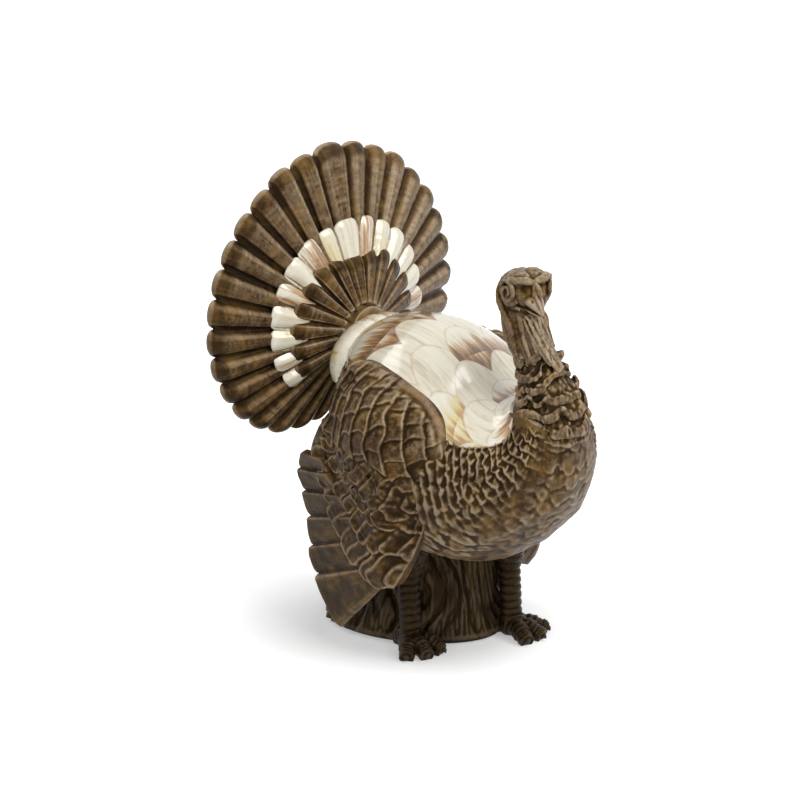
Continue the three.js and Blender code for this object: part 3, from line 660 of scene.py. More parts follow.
def breastColumns(q, degrees, side):  # strips lapped side over side, each a chain of shallow pads
    lane = (q - trunk["columnStart"]) / trunk["columnPitch"]
    lane = lane + 0.4 * drift(degrees / 15, q * 1.5, side) + 0.22 * drift(degrees / 5, q * 5, side, 4)
    first = np.floor(lane)
    c = lane - first
    deep = np.log1p(np.maximum(degrees - trunk["cellFrom"], -30) * trunk["cellGrow"] / trunk["cellFirst"])
    cell = deep / trunk["cellGrow"] + 0.5 * np.mod(first, 2) + 0.6 * chance(first, side)
    cell = cell + 0.7 * (c - 0.4) ** 2
    cell = cell + 0.3 * drift(degrees / 7, q * 5, 3 + side) + 0.4 * drift(degrees / 20, first, side, 6)
    number = np.floor(cell)
    s = cell - number
    luck = chance(first, number, side)
    ridge = 0.5 * hump(c, 0.12, 0.1) * (0.5 + chance(first, number, side, 3))
    pocket = ease(c / 0.3) * ease((1 - c) / 0.2)
    lip = ease((s - 0.05 - 0.25 * luck) / 0.55) * ease((1.03 - s) / 0.22)
    pad = -0.42 + (0.7 + 0.5 * luck) * lip
    rough = 0.24 * drift(degrees / 2.2, q * 6, side, 7) + 0.12 * drift(degrees / 1.1, q * 11, side, 8)
    return ridge + mix(-0.2 + 0.2 * lip, pad, pocket) + 0.5 - c + rough


def thighFeathers(q, degrees, side):  # long leaves that slant down and forward over the top of the leg
    along = 17 * q + 0.7 * degrees
    across = 0.23 * degrees - 17.4 * q
    run = along / trunk["thighLeaf"] + 0.2 * drift(along / 9, across / 9, side, 14)
    lane = across / trunk["thighWide"] + 0.2 * drift(along / 8, across / 8, side, 15)
    rise, aside, *_ = tiles(run, lane, 0.85)
    vane = 0.14 * drift(across / 0.8, run * 2, side, 16)
    return 1.7 * rise + 0.45 * aside - 0.8 + vane


def breastScales(q, x):  # broader smooth scallops down the front and under the belly
    row = (trunk["scaleStart"] - q) / trunk["scalePitch"]
    row = row + 0.34 * drift(x / 8, q * 2, 11) + 0.12 * drift(x / 2.5, q * 6, 12)
    column = x / trunk["scaleWidth"] + 0.2 * drift(x / 12, q * 3, 5)
    rise, across, band, number = tiles(row, column, 0.45)
    barbs = 0.12 * drift(x / 1.1, q * 3, band, 13)
    return (rise - 0.35) * 1.05 + 0.2 * (1 - across**2) + barbs + 0.4 * chance(band, number)


def trunkShape(u, v):
    inner, share = capped(v, trunk["cap"])
    t = inner * (1.5 - 0.5 * inner)
    s = 2 * u - 1
    angle = pi * (s + 0.3 * np.sin(tau * s) / tau)
    base = trunkSurface(t, angle, 0, share)
    normal = outward(base)
    normal *= np.sign(((base - trunkSection(t)[0]) * normal).sum(-1))[..., None]
    degrees = np.degrees(np.abs(angle))
    q = t * sections
    side = np.sign(s)
    opened = ease(share * 4 - 3)
    columns = breastColumns(q, degrees, side) * mix(1, 0.16, ease((degrees - 100) / 28))
    scales = breastScales(q, base[..., 0]) * trunk["scaleDepth"]
    scalesFrom = mix(150, 126, ease((t - 0.58) / 0.14))
    relief = mix(columns, scales, ease((degrees - scalesFrom) / 22))
    thigh = ease((degrees - 114) / 10) * ease((152 - degrees) / 8)
    thigh = thigh * ease((6.3 - q) / 0.4) * ease((q - 3.6) / 0.4)
    relief = mix(relief, thighFeathers(q, degrees, side), thigh)
    relief = relief * ease((degrees - 40) / 12) * opened * ease((sections - q) / 0.25)
    relief = relief * mix(ease((8.6 - q) / 0.15), 1, ease((degrees - 85) / 25))  # plain strip before the neck
    lumps = 0.5 * spotDrift(base, 13, 21) + 0.18 * spotDrift(base, 3, 22)
    tuckFront = trunk["tuckFront"] * ease((t - 0.62) / 0.2) * ease((degrees - 95) / 50)
    tuckBelly = trunk["tuckBelly"] * ease((degrees - 125) / 35) * ease((t - 0.3) / 0.15)
    depth = (evened(relief) + lumps - np.maximum(tuckFront, tuckBelly)) * opened
    front = ease((degrees - 105) / 40) * ease((t - 0.5) / 0.2)
    tint = (0.05 - 0.13 * ease((92 - base[..., 2]) / 25)) * front - 0.02  # the breast paler than the belly: painted light on the breast front, painted shade under the belly
    return base + normal * depth[..., None], {"tint": tint}


layPiece("breast_and_trunk", trunk, trunkShape, plumagePaint, "body_shell")


# Saddle: the enamelled back, a thin shell with a soft rim

saddle = {
    "from": 1.25, "to": 8.62, "thick": 2.3, "under": -1.2, "rim": 0.2,
    "across": 200, "along": 210, "cap": 0.02,
    "reach": [  # section, and degrees from the middle of the back to the rim
        (1.25, 52), (2, 58), (3, 59), (4, 59), (5, 59), (6, 61), (7, 65), (8, 75), (8.4, 74), (8.62, 62),
    ],
    "sectionLength": 17.8, "leastGirth": 30,
}


def saddleShape(u, v):
    along, opened = capped(v, saddle["cap"])
    q = mix(saddle["from"], saddle["to"], along)
    t = q / sections
    top = u < 0.5
    sweep = np.where(top, 4 * u - 1, 3 - 4 * u)
    stops = np.array(saddle["reach"])
    angle = sweep * np.radians(np.interp(q, stops[:, 0], stops[:, 1]))
    edge = (1 - np.clip(np.abs(sweep), 0, 1) ** 14) * np.sqrt(opened)
    sway = 0.35 * drift(q * 0.9, angle * 2.2, 0, 31)
    lift = mix(saddle["rim"], np.where(top, saddle["thick"], saddle["under"]), edge)
    at = trunkSurface(t, angle, lift + np.where(top, sway * edge, 0))
    _, rise, half = trunkSection(t)
    girth = 0.5 * half + 0.5 * np.linalg.norm(rise, axis=-1)
    lay = [(saddle["to"] - q) * saddle["sectionLength"], angle * np.maximum(girth, saddle["leastGirth"])]
    return at, {"lay": np.stack(lay + [np.zeros_like(q)], -1)}


layPiece("back_saddle_shell", saddle, saddleShape, backEnamel, "back_saddle", slot="ivory_enamel")


# Roll over the rump

roll = {
    "width": 49, "arch": 15.5, "tube": 11, "back": 24.5, "up": 140.7, "arc": 100, "deep": 1.05,
    "across": 72, "along": 170, "cap": 0.04,
}


def rollShape(u, v):
    along, opened = capped(v, roll["cap"])
    share = 2 * along - 1
    angle = np.radians(roll["arc"]) * share
    aside, up = np.sin(angle), np.cos(angle)
    zero = np.zeros_like(angle)
    line = np.stack([roll["width"] / 2 * aside, zero + roll["back"], roll["up"] + roll["arch"] * up], -1)
    first = unit(np.stack([aside / roll["width"] * 2, zero, up / roll["arch"]], -1))
    tube = roll["tube"] * (0.45 + 0.55 * np.cos(share * pi * 0.4)) * np.sqrt(opened)
    swell = tube * (1 + 0.05 * drift(share * 5, 0, 0, 8))
    turn = u * tau
    at = line + first * (swell * np.cos(turn))[..., None]
    at[..., 1] += swell * np.sin(turn) * roll["deep"]
    return at, {
        "lay": np.stack([turn * roll["tube"], share * 50, zero], -1),
        "pick": np.where(np.abs(share - 0.2) < 0.45, 0.5, 0.8),  # a brown stretch between honey ends
        "root": 1.05 + 0.5 * drift(share * 3, turn / 3, 0, 9),
    }


layPiece("rump_roll_arch", roll, rollShape, bandEnamel, "rump_roll", slot="ivory_enamel")


# Tail: three layers of feathers on one shallow cone

tail = {"rootBack": 39.04, "rootUp": 156.7, "sweep": 21.5, "radius": 94.5, "centreWide": 1.22, "tipOver": 7}
fan = {
    "count": 31, "spread": 332, "inner": 12.5, "tip": 96, "low": 0.48, "side": 0.03, "tipRound": 5.6,
    "front": -2.2, "thick": 4.6, "crown": 3.9, "backCrown": 1.9, "ridge": 0.2, "paintedLight": 0.075, "seed": 1,
    "across": 31 * 26, "along": 120,
}
band = {
    "count": 17, "spread": 248, "inner": 33, "tip": 57.4, "low": 0.16, "side": -0.02, "tipRound": 4.2,
    "front": 2.3, "thick": 2.6, "crown": 2.4, "backCrown": 0, "ridge": 0, "paintedLight": 0, "seed": 4,
    "across": 17 * 28, "along": 100,
}
innerFan = {
    "count": 15, "spread": 244, "inner": 12.5, "tip": 38.6, "low": 0, "side": -0.15, "tipRound": 3.4,
    "front": 3.3, "thick": 5.2, "crown": 2.3, "backCrown": 0, "ridge": 0.6, "paintedLight": 0, "seed": 2,
    "across": 15 * 32, "along": 110,
}


def featherRing(ring):
    count, spread, seed = ring["count"], radians(ring["spread"]), ring["seed"]
    widths = np.ones(count)
    widths[count // 2] = tail["centreWide"]
    edges = np.concatenate([[0], np.cumsum(widths)]) / widths.sum()

    def shape(u, v):
        number = np.clip(np.searchsorted(edges, u, side="right") - 1, 0, count - 1)
        away = number - count // 2
        x = 2 * (u - edges[number]) / (edges[number + 1] - edges[number]) - 1  # across one feather
        x = np.where(away > 0, x, np.where(away < 0, -x, np.abs(x)))  # 1 is away from the top feather
        flat = np.clip(np.abs(x), 0, 1)
        jitter = chance(number, seed) - 0.5
        angle = spread * (u - 0.5)
        wide = spread / count * ring["tip"] / 2
        low = np.abs(2 * u - 1)
        tip = ring["tip"] * (1 - ring["low"] * low**3.5 - ring["side"] * ease(low / 0.35)) + 1.2 * jitter
        tip = tip - ring["tipRound"] * (1 - (1 - flat**2.6) ** 0.55)
        rear = v > 0.5  # the front face runs out to the tip, the back face returns
        out = 1 - (1 - np.clip(np.where(rear, 1 - v, v) / 0.5, 0, 1)) ** 1.6
        r = mix(ring["inner"], tip, out)
        near = np.sqrt(1 - (1 - np.clip((tip - r) / tail["tipOver"], 0, 1)) ** 2)  # rounds the tip over
        shut = ease((r - ring["inner"]) / 2) * ease(np.minimum(u, 1 - u) * count * 3)
        climb = np.where(away == 0, 1, ease((x + 1) / 0.7))  # gentle flank towards the top feather
        crown = climb * np.sqrt(1 - np.clip((x + np.where(away == 0, 0, 0.25)) / 0.98, 0, 1) ** 2.2)
        grain = 0.07 * drift(x * wide / 1.1, r / 11, number, seed)
        grain = grain + 0.1 * drift(x * wide / 4, r / 1.4, number, seed + 3)
        swell = ring["crown"] * crown + ring["ridge"] * hump(flat, 0.62, 0.12) + grain
        front = ring["front"] + ring["thick"] / 2 + swell
        shaft = 0.8 * hump(x, 0, 0.12) * ease((tip - r - 2) / tail["tipOver"])
        behind = ring["front"] - ring["thick"] / 2 - ring["backCrown"] * ((1 - flat**2.5) ** 0.72 + shaft)
        forward = mix((front + behind) / 2, np.where(rear, behind, front), near * shut)
        cone = tail["rootBack"] + tail["sweep"] * r / tail["radius"]
        at = np.stack([r * np.sin(angle), cone - forward, tail["rootUp"] + r * np.cos(angle)], -1)
        # Pale on the flank towards the top feather, darker on the far side: partly the taupe paint, partly
        # painted light from above and painted shade
        flank = ease((-x - 0.25) / 0.3) * (away != 0)
        beyond = ease((x - 0.3) / 0.3) * (away != 0)
        groove = hump(flat, 1, 0.16)
        darkTip = -0.3 * ease((r - tip + 8) / 4) * ease((tip - r - 0.3) / 0.7)
        tint = (0.1 * flank - 0.07 * beyond + 0.1 * groove) * ~rear + darkTip + 0.06 * jitter
        # Painted light: lighter towards the top of the fan and towards the bird's left
        tint = tint + ring["paintedLight"] * (np.cos(angle) + np.sin(angle))
        lay = np.stack([r, x * wide + number * 40, number], -1)
        return at, {"tint": tint, "pick": np.mod(number * 0.382 + 0.13, 1), "lay": lay, "root": out}

    return shape


layPiece("tail_outer_feathers", fan, featherRing(fan), fanPaint, "tail_fan", edgePasses=4)
layPiece("tail_enamel_scallops", band, featherRing(band), bandEnamel, "tail_band", slot="ivory_enamel")
layPiece("tail_inner_feathers", innerFan, featherRing(innerFan), fanPaint, "tail_inner_fan", edgePasses=6)

hub = {"radius": 13, "front": 30, "back": 52, "petals": 12, "ripple": 0.25, "across": 240, "along": 70}


def hubShape(u, v):  # rosette of short feathers that closes the tail at the rear
    angle = u * tau
    petal = np.abs(np.sin(angle * hub["petals"] / 2)) ** 0.7
    opening = np.where(v < 0.12, v / 0.12, np.where(v < 0.6, 1, np.cos((v - 0.6) / 0.4 * pi / 2)))
    ripple = hub["ripple"] * np.sin(v * 60) * ease((v - 0.6) / 0.2) * (v < 0.97)
    radius = hub["radius"] * opening * (1 + 0.14 * petal * ease((v - 0.2) / 0.3)) + ripple
    early = ease(np.clip(v / 0.75, 0, 1) * 0.6) / ease(0.6)
    late = np.sin(np.clip((v - 0.55) / 0.45, 0, 1) * pi / 2)
    y = mix(hub["front"], hub["back"], 0.75 * early + 0.25 * late)
    return np.stack([radius * np.sin(angle), y, tail["rootUp"] + radius * np.cos(angle)], -1), {}


layPiece("tail_root_rosette", hub, hubShape, plumagePaint, "tail_hub")


# Wings: shoulder coverts laid row over row, and the long flight feathers under them

wing = {
    "dome": {"reach": 50, "frontReach": 46.5, "back": -35, "up": 121, "half": (17.5, 34, 41), "lean": 14},
    "outline": [  # behind, up and how far out the edge stands
        (-11, 158.5, 37), (-1, 156, 39), (6, 146, 43), (10, 129, 47.5), (19, 117, 50), (21, 101, 53),
        (7, 82, 56), (-7, 66, 57), (-18, 52, 57), (-37, 44, 53), (-47, 58, 48.5), (-56, 77, 47.5),
        (-64, 95, 47.5), (-69, 121, 45.5), (-67, 135, 43), (-56, 145.5, 40), (-39, 153, 38), (-24, 157, 37.5),
    ],
    "centre": (-28, 108), "across": 520, "along": 170, "shoulder": 0.58, "frontShoulder": 0.4,
    "faceTo": 0.84, "wallTo": 0.89,  # shares of the rings that make the face, then the wall round it
    "pole": (-35, 290), "columnTurn": 3.9, "slant": -0.06, "cellTilt": 0.24, "cellLength": 12, "ridge": 0.5,
    "rows": [  # lowest first: roots and tips from the tail side to the breast side, half width, lift
        {"roots": [(-1, 104), (-12, 98), (-22, 91), (-33, 85), (-45, 80), (-54, 75), (-58, 68), (-62, 60)],
         "tips": [(15, 95), (7, 84), (-1, 72), (-10, 61), (-19, 53), (-28, 47), (-39, 43), (-48, 41)],
         "half": 5.2, "lift": 2.6, "rough": 0.25},
        {"roots": [(-2, 115), (-16, 108), (-30, 100), (-42, 95), (-52, 90), (-60, 84), (-67, 79)],
         "tips": [(20, 104), (4, 96), (-12, 83), (-22, 74), (-34, 67), (-47, 62), (-57, 61)],
         "half": 4.8, "lift": 2.3, "rough": 0.45},
        {"roots": [(-4, 122), (-20, 115), (-33, 106), (-44, 101), (-53, 98), (-62, 96), (-70, 94)],
         "tips": [(17, 113), (-4, 104), (-19, 93), (-29, 85), (-41, 78), (-54, 76), (-64, 76)],
         "half": 5.0, "lift": 2.1, "rough": 0.65},
        {"roots": [(-9, 129), (-24, 123), (-36, 115), (-47, 109), (-57, 106), (-65, 106), (-73, 106)],
         "tips": [(11, 121), (-10, 112), (-23, 102), (-33, 94), (-45, 88), (-58, 88), (-68, 89)],
         "half": 4.8, "lift": 1.9, "rough": 0.65},
    ],
    "rowCount": 10, "droop": (8, -16), "floor": 0.8,  # the left wing hangs lower at its foot
}


def droop(side, y, z):
    low = ease((105 - z) / 60) * ease((22 - y) / 40) * (side > 0)
    foot = low * ease((70 - z) / 30)
    return y + wing["droop"][0] * foot, np.maximum(z + wing["droop"][1] * low, wing["floor"])


def domeReach(y, z):  # how far out the shoulder stands over each place of the wing
    dome = wing["dome"]
    lean = radians(dome["lean"])
    dy, dz = y - dome["back"], z - dome["up"]
    ly = dy * cos(lean) - dz * sin(lean)
    lz = dy * sin(lean) + dz * cos(lean)
    inside = 1 - (ly / dome["half"][1]) ** 2 - (lz / dome["half"][2]) ** 2
    ahead = ease(-dy / 25)  # the front slopes down gently on to the breast
    rim = mix(dome["reach"], dome["frontReach"], ahead)
    swell = np.clip(inside, 0, 1) ** mix(0.5, 0.8, ahead)
    return rim + (dome["reach"] + dome["half"][0] - rim) * swell - 6 * np.clip(-inside, 0, 3)


def quillReach(along):  # outer face of the flight feathers
    return 60 - 9 * along


def covertBase(y, z):  # the shoulder's dome and the plate over the quills, joined softly
    plate = quillReach(np.clip((y + 40) / 65, 0, 1)) + 3.2 - 7 * ease((z - 118) / 40)
    soft = 3.0
    return soft * np.log(np.exp(np.clip(domeReach(y, z) / soft, -30, 30)) + np.exp(plate / soft))


def shoulderCells(y, z, seed):  # columns of plates, each lapped over its neighbours on two sides
    across, depth = y - wing["pole"][0], wing["pole"][1] - z
    turn = np.degrees(np.arctan2(across - wing["slant"] * (138 - z), depth))
    lane = turn / wing["columnTurn"] + 0.2 * drift(z / 9, y / 14, 0, seed)
    first = np.floor(lane)
    c = lane - first
    depth = np.hypot(across, depth)
    cell = (depth - wing["cellTilt"] * across) / wing["cellLength"]
    cell = cell + chance(first, seed) - 0.1 * (2 * c - 1) ** 2
    cell = cell + 0.14 * drift(z / 6, y / 6, 0, seed + 1) + 0.3 * drift(depth / 18, first, 0, seed + 4)
    number = np.floor(cell)
    s = cell - number
    sideRim = hump(c * np.radians(wing["columnTurn"]) * depth, 0.7, 0.9)
    endRim = hump((1 - s) * wing["cellLength"], 0.8, 0.8)
    border = np.maximum(sideRim, 0.5 * endRim) * (0.75 + 0.5 * drift(y / 4, z / 4, 0, seed + 5))
    plate = np.clip(16 * c * (1 - c) * s * (1 - s), 0, 1) ** 0.5
    dents = (0.3 * drift(y / 2.6, z / 2.6, 0, seed + 2) + 0.16 * drift(y / 0.9, z / 0.9, 0, seed + 3)) * plate
    tilt = 0.5 - c + 0.8 * (s - 0.5) + 0.8 * (chance(first, number, seed) - 0.5) * plate
    return wing["ridge"] * border + 0.45 * plate + dents + tilt


def layFeathers(y, z, row, rank, seed, height):  # one row of overlapping feathers over what is under it
    for k in range(wing["rowCount"]):
        share = np.array((k + 0.5) / wing["rowCount"])
        wobble = [chance(k, rank, j, seed) - 0.5 for j in range(4)]
        root = spline(row["roots"], share)
        axis = spline(row["tips"], share) + np.array(wobble[:2]) * 4.5 - root
        length = np.hypot(*axis)
        axis = axis / length
        dy, dz = y - root[0], z - root[1]
        a = (dy * axis[0] + dz * axis[1]) / length  # along the feather
        b = dz * axis[0] - dy * axis[1] + 0.8 * drift(a * 2, k, rank, seed + 8)  # across it
        half = row["half"] * (1 + 0.5 * wobble[2]) * (0.8 + 0.35 * np.clip(a, 0, 1))
        x = b / half
        tipGap = (1 - a) * length - 0.95 * half * (1 - np.sqrt(np.clip(1 - x**2, 0, 1)))
        tipGap = tipGap + 0.6 * drift(b / 2.2, k, rank, seed + 9)
        inside = np.minimum(np.minimum(half - np.abs(b), tipGap), a * length + 2)
        rim = (0.05 + 0.4 * chance(k, rank, seed)) * hump(inside, 0.9, 0.8) * ease(a / 0.3)
        dish = -0.45 * ease((inside - 1.2) / 2.2) * ease(a / 0.4)
        rough = row["rough"] * drift(y / 2.4, z / 2.4, k, seed + 10)
        rough = rough + 0.12 * drift(b / 0.7, a * 3, k, seed + 11)
        level = row["lift"] * np.clip(a, 0, 1) + 0.5 * x * (wobble[3] + 0.4)
        height = mix(height, level + dish + rough + rim, ease((inside + 0.45) / 0.9))
    return height


def covertRelief(y, z, unrolled, seed):
    y, z = y + 1.3 * drift(y / 7, z / 7, 0, seed + 12), z + 1.3 * drift(y / 7, z / 7, 0, seed + 13)
    height = -0.6 - 3.2 * ease((y + 46) / 10) * ease((112 - z) / 10)
    for rank, row in enumerate(wing["rows"]):
        height = layFeathers(y, z, row, rank, seed, height)
    cells = shoulderCells(unrolled[..., 0], unrolled[..., 1], seed) + 0.6
    # The shoulder's columns end at this height
    lower = 116 - 27 * ease((-42 - y) / 18) + 4 * drift(y / 7, 0, 0, seed + 7)
    return mix(height, cells, ease((z - lower) / 2.5))


def covertShape(side):
    ring = wing["outline"]
    loop = ring[-1:] + ring + ring[:2]
    centre = np.array(wing["centre"], float)

    def shape(u, v):
        share = np.clip(v / wing["faceTo"], 0, 1)
        wall = ease((v - wing["faceTo"]) / (wing["wallTo"] - wing["faceTo"]))
        back = np.clip((v - wing["wallTo"]) / (1 - wing["wallTo"]), 0, 1)
        edge = spline(loop, (1 + u * len(ring)) / (len(loop) - 1))
        edgeBack, edgeUp, edgeOut = np.moveaxis(edge, -1, 0)
        ray = edge[..., :2] - centre
        y, z = np.moveaxis(centre + ray * np.minimum(share, 1 - back)[..., None], -1, 0)
        ahead = ease((-34 - edgeBack) / 26)
        merged = ahead * ease((134 - edgeUp) / 16)
        shoulder = mix(wing["shoulder"], wing["frontShoulder"], ahead)
        late = np.clip((share - shoulder) / (1 - shoulder), 0, 1)
        fall = mix(1 - np.sqrt(1 - late**2.4), ease(late), merged)  # the front runs smoothly into the breast
        deep = mix(6, 2, ahead * ease((92 - edgeUp) / 20))
        reach = mix(mix(covertBase(y, z), edgeOut, fall), edgeOut - deep, wall)
        at = np.stack([side * reach, *droop(side, y, z)], -1)
        normal = outward(at)
        normal *= np.sign(normal[..., :1] * side + 1e-9)
        normal = mix(normal, np.array([side, 0.0, 0.0]), 1 - ease((share - 0.3) / 0.3)[..., None])
        run = np.cumsum(np.linalg.norm(np.diff(at, axis=0, prepend=at[:1]), axis=-1), axis=0)
        unrolled = centre + unit(ray) * run[..., None]
        beside = ease((-28 - y) / 14) * ease((z - 126) / 8)  # a plain strip beside the saddle
        plain = mix(ease((1 - share) / 0.012), ease((0.985 - share) / 0.035), beside)
        relief = evened(covertRelief(y, z, unrolled, 5 + side)) * plain * (1 - wall)
        # Painted shade on the wall under the wing's edge, and the feathers below the shoulder a little darker
        tint = -0.3 * wall - 0.04 * ease((118 - z) / 10)
        return at + unit(normal) * relief[..., None], {"tint": tint}

    return shape


quills = {
    "roots": [(5, 107.5), (1, 100), (-8, 90.6), (-17, 81), (-26, 70.6), (-35, 58), (-40, 48.6)],
    "tips": [(27.6, 103.6), (31.5, 93.3), (28, 81.5), (24.5, 68), (23, 52), (20, 36.6), (6, 9)],
    "bulge": [2.5, 2.5, 2.5, 2.5, 3, 4.5],
    "across": 6 * 48, "along": 170, "wide": 16, "thick": 4.2, "tuck": 4, "tint": -0.13,
}


def quillShape(side):
    seed = 40 + side
    count = len(quills["bulge"])
    roots, tips = np.array(quills["roots"], float), np.array(quills["tips"], float)

    def shape(u, v):
        number = np.clip(np.floor(u * count).astype(int), 0, count - 1)
        part = u * count - number
        x = 2 * part - 1  # -1 upper edge, 1 lower edge of one feather
        root, tip = (mix(ends[number], ends[number + 1], part[..., None]) for ends in (roots, tips))
        ahead = unit(tip - root)
        rounding = (1 - np.clip(np.abs(x), 0, 1) ** 2.6) ** 0.5
        span = np.linalg.norm(tip - root, axis=-1) + np.array(quills["bulge"])[number] * rounding
        rear = v > 0.5
        a = 1 - (1 - np.clip(np.where(rear, 1 - v, v) / 0.5, 0, 1)) ** 1.25
        run = a * span
        spot = root + ahead * run[..., None]
        tipGap = (1 - a) * span
        near = np.sqrt(ease(tipGap / 2.4))
        shut = np.sqrt(ease(np.minimum(u, 1 - u) * count / 0.12)) * ease(run / 2)
        slope = part * quills["wide"]
        step = (0.2 + 2.1 * (1 - part) ** 1.2) * ease(part / 0.07 + 0.1)
        rim = 0.28 * hump(part, 0.09, 0.06) + 0.3 * hump(tipGap, 1.0, 0.7)
        streaks = 0.08 * drift(slope / 1.1, run / 9, number, seed)
        dents = 0.3 * drift(slope / 5, run / 6, number, seed + 1)
        reach = quillReach(a) - quills["tuck"] * ease((u - 0.72) / 0.28) * a
        outer = reach + (step + rim + streaks + dents) * mix(0.4, 1, near)
        inner = reach - quills["thick"] + 0.6 * np.cos(x * pi / 2)
        out = mix((outer + inner) / 2, np.where(rear, inner, outer), near * shut)
        at = np.stack([side * out, *droop(side, spot[..., 0], spot[..., 1])], -1)
        # Each feather's tone varies at random; all of them are darker, painted shade against the lamp light
        # they catch
        return at, {"tint": 0.08 * (chance(number, seed) - 0.5) + quills["tint"]}

    return shape


for side, word in bothSides:
    layPiece(word + "_shoulder_coverts", wing, covertShape(side), wingPaint, word + "_wing_coverts")
    layPiece(word + "_flight_feathers", quills, quillShape(side), wingPaint, word + "_wing_quills")


# Neck: ragged frills below, creased skin above

neck = {
    "setback": 15, "lean": 4, "height": 48, "flow": 6, "top": 10.3, "drop": 9, "rows": 6.5, "frilled": 0.66,
    "flare": 2.1, "thin": 1.9, "bow": (-2.4, 2.4, 0), "across": 240, "along": 200, "cap": 0.03, "voxel": 0.45,
    "swagRows": 7, "swagWide": 11, "sag": 0.035, "swagThick": 2.5, "tint": -0.02,
}
jointCentre, jointRise, jointHalf = trunkSection(np.array(1.0))
jointTall = np.linalg.norm(jointRise)
jointAhead = np.array([0, -jointRise[2], jointRise[1]]) / jointTall
headSeat = jointCentre + np.array([-neck["lean"], neck["setback"], neck["height"]])
seatLean = unit(np.array([0, 0.3, 1]))


def neckLine(t):
    stops = [
        jointCentre - jointAhead * neck["drop"], jointCentre + jointAhead * neck["flow"],
        headSeat - seatLean * 12 + np.array(neck["bow"]), headSeat + seatLean * 4,
    ]
    t = np.asarray(t)[..., None]
    first, last = (1 - t) ** 3 * stops[0], t**3 * stops[3]
    return first + 3 * t * (1 - t) ** 2 * stops[1] + 3 * t * t * (1 - t) * stops[2] + last


def neckFrame(t):
    ahead = unit(neckLine(t + 0.01) - neckLine(t - 0.01))
    second = unit(np.cross(ahead, np.array([1.0, 0, 0])))
    return neckLine(t), np.cross(second, ahead), second


def neckRadius(t, angle):
    foot = np.hypot(jointHalf * np.cos(angle), jointTall * np.sin(angle))
    foot = foot * (1 + 0.17 * ease(-np.sin(angle)) * (1 - ease(t / 0.2)))
    return mix(foot, neck["top"], ease((t - 0.08) * 1.5)) - neck["thin"]


def neckWave(angle, t):
    return 0.5 * ringDrift(angle, 2.3, t * 4, 51) + 0.24 * ringDrift(angle, 6, t * 8, 52)


def neckShape(u, v):
    t, opened = capped(v, neck["cap"])
    angle = u * tau
    rows = t / neck["frilled"] * neck["rows"] + neckWave(angle, t) * ease(t / 0.05)
    number = np.floor(rows)
    f = rows - number
    lobes = 0.75 + 0.5 * ringDrift(angle, 3.6, number * 3.7, 53)
    frilled = ease((neck["frilled"] - t) / 0.08)
    flare = (1 - f) ** 1.2 * ease(f / 0.24) * lobes
    flare = flare * neck["flare"] * mix(1.2, 0.8, t / neck["frilled"]) * frilled
    folds = 0.9 * ringDrift(angle, 3.6, t * 1.6, 54) + 0.4 * ringDrift(angle, 8, t * 2.4, 55)
    crumple = 0.4 * ringDrift(angle, 8, t * 15, 56) + 0.15 * ringDrift(angle, 20, t * 30, 57)
    reach = neckRadius(t, angle) + flare + folds * mix(1.5, 0.3, frilled) + crumple * mix(0.5, 1, frilled)
    reach = reach * opened
    return swept(*neckFrame(t[:, 0]), reach * np.cos(angle), reach * np.sin(angle)), {}


def neckSkin(t, angle, lift):  # a point on the neck; angle 0 is the bird's left, -pi / 2 its front
    centre, first, second = neckFrame(np.array([t]))
    reach = float(neckRadius(np.array(t), np.array(angle))) + neck["thin"] + lift
    return (centre + first * reach * cos(angle) + second * reach * sin(angle))[0]


def neckSwags():  # fat wavy lips along the frill's rows
    parts = []
    pitch = neck["frilled"] / neck["rows"]
    for row in range(1, neck["swagRows"]):
        level = row * pitch
        size = mix(1.2, 0.8, row / neck["swagRows"])
        girth = tau * float(neckRadius(np.array(level), np.array(-pi / 2)))
        count = int(girth / neck["swagWide"])
        for k in range(count):
            luck = [chance(row, k, j) - 0.5 for j in range(6)]
            turn = tau * (k + 0.5 * (row % 2) + 0.6 * luck[0]) / count
            if row == 1 and sin(turn) > -0.7 or row == neck["swagRows"] - 1 and cos(turn) > 0.2:
                continue  # hidden in the breast or under the throat
            wide = tau / count * (1.35 + 0.6 * luck[1])
            thick = neck["swagThick"] * size * (1 + 0.6 * luck[2])
            path = []
            for share in (-0.5, -0.25, 0, 0.25, 0.5):
                hang = 1 - 4 * share * share
                at = turn + wide * share
                height = (row + 0.22 - float(neckWave(at, level))) * pitch
                height = height + neck["sag"] * (0.4 - hang * (0.8 + luck[3]))
                path.append(neckSkin(max(height, 0.01), at, (1.3 + luck[5]) * hang - 1.3))
            radii = [thick * w for w in (0.45, 0.85, 1.0, 0.85, 0.45)]
            parts.append(tubeMesh(path, radii, 0.6, (0, 0.3, 1), sides=14, steps=22))
    return parts


def neckStrands(co):
    strands = 0.3 * drift(co[:, 0] / 1.3, co[:, 1] / 1.3, co[:, 2] / 4, 58) + 0.5 * spotDrift(co, 2.4, 59)
    return strands + 0.8 * spotDrift(co, 5.5, 60)


def addNeck():
    parts = [layGrid("clay", neck, neckShape)] + neckSwags()
    mesh = meltClay("ruffled_neck", parts, neck["voxel"], neckStrands)
    addMark(mesh, "tint", np.full(len(mesh.vertices), neck["tint"]))
    place("ruffled_neck", mesh, plumagePaint, "neck")


# Head, modelled facing -Y about the middle of its skull, then turned on to the neck

head = {"turn": 21, "nod": 4, "up": 17.4, "ahead": 1.6, "voxel": 0.36, "napeStrands": 5, "throatCreases": 4}
headCentre = headSeat + seatLean * head["up"] + np.array([0, -head["ahead"], 0])
headTurn = Matrix.Rotation(-radians(head["turn"]), 4, "Z") @ Matrix.Rotation(radians(head["nod"]), 4, "X")
headPlace = Matrix.Translation(Vector(headCentre)) @ headTurn
upright, crosswise = (0, 0, 1), (1, 0, 0)


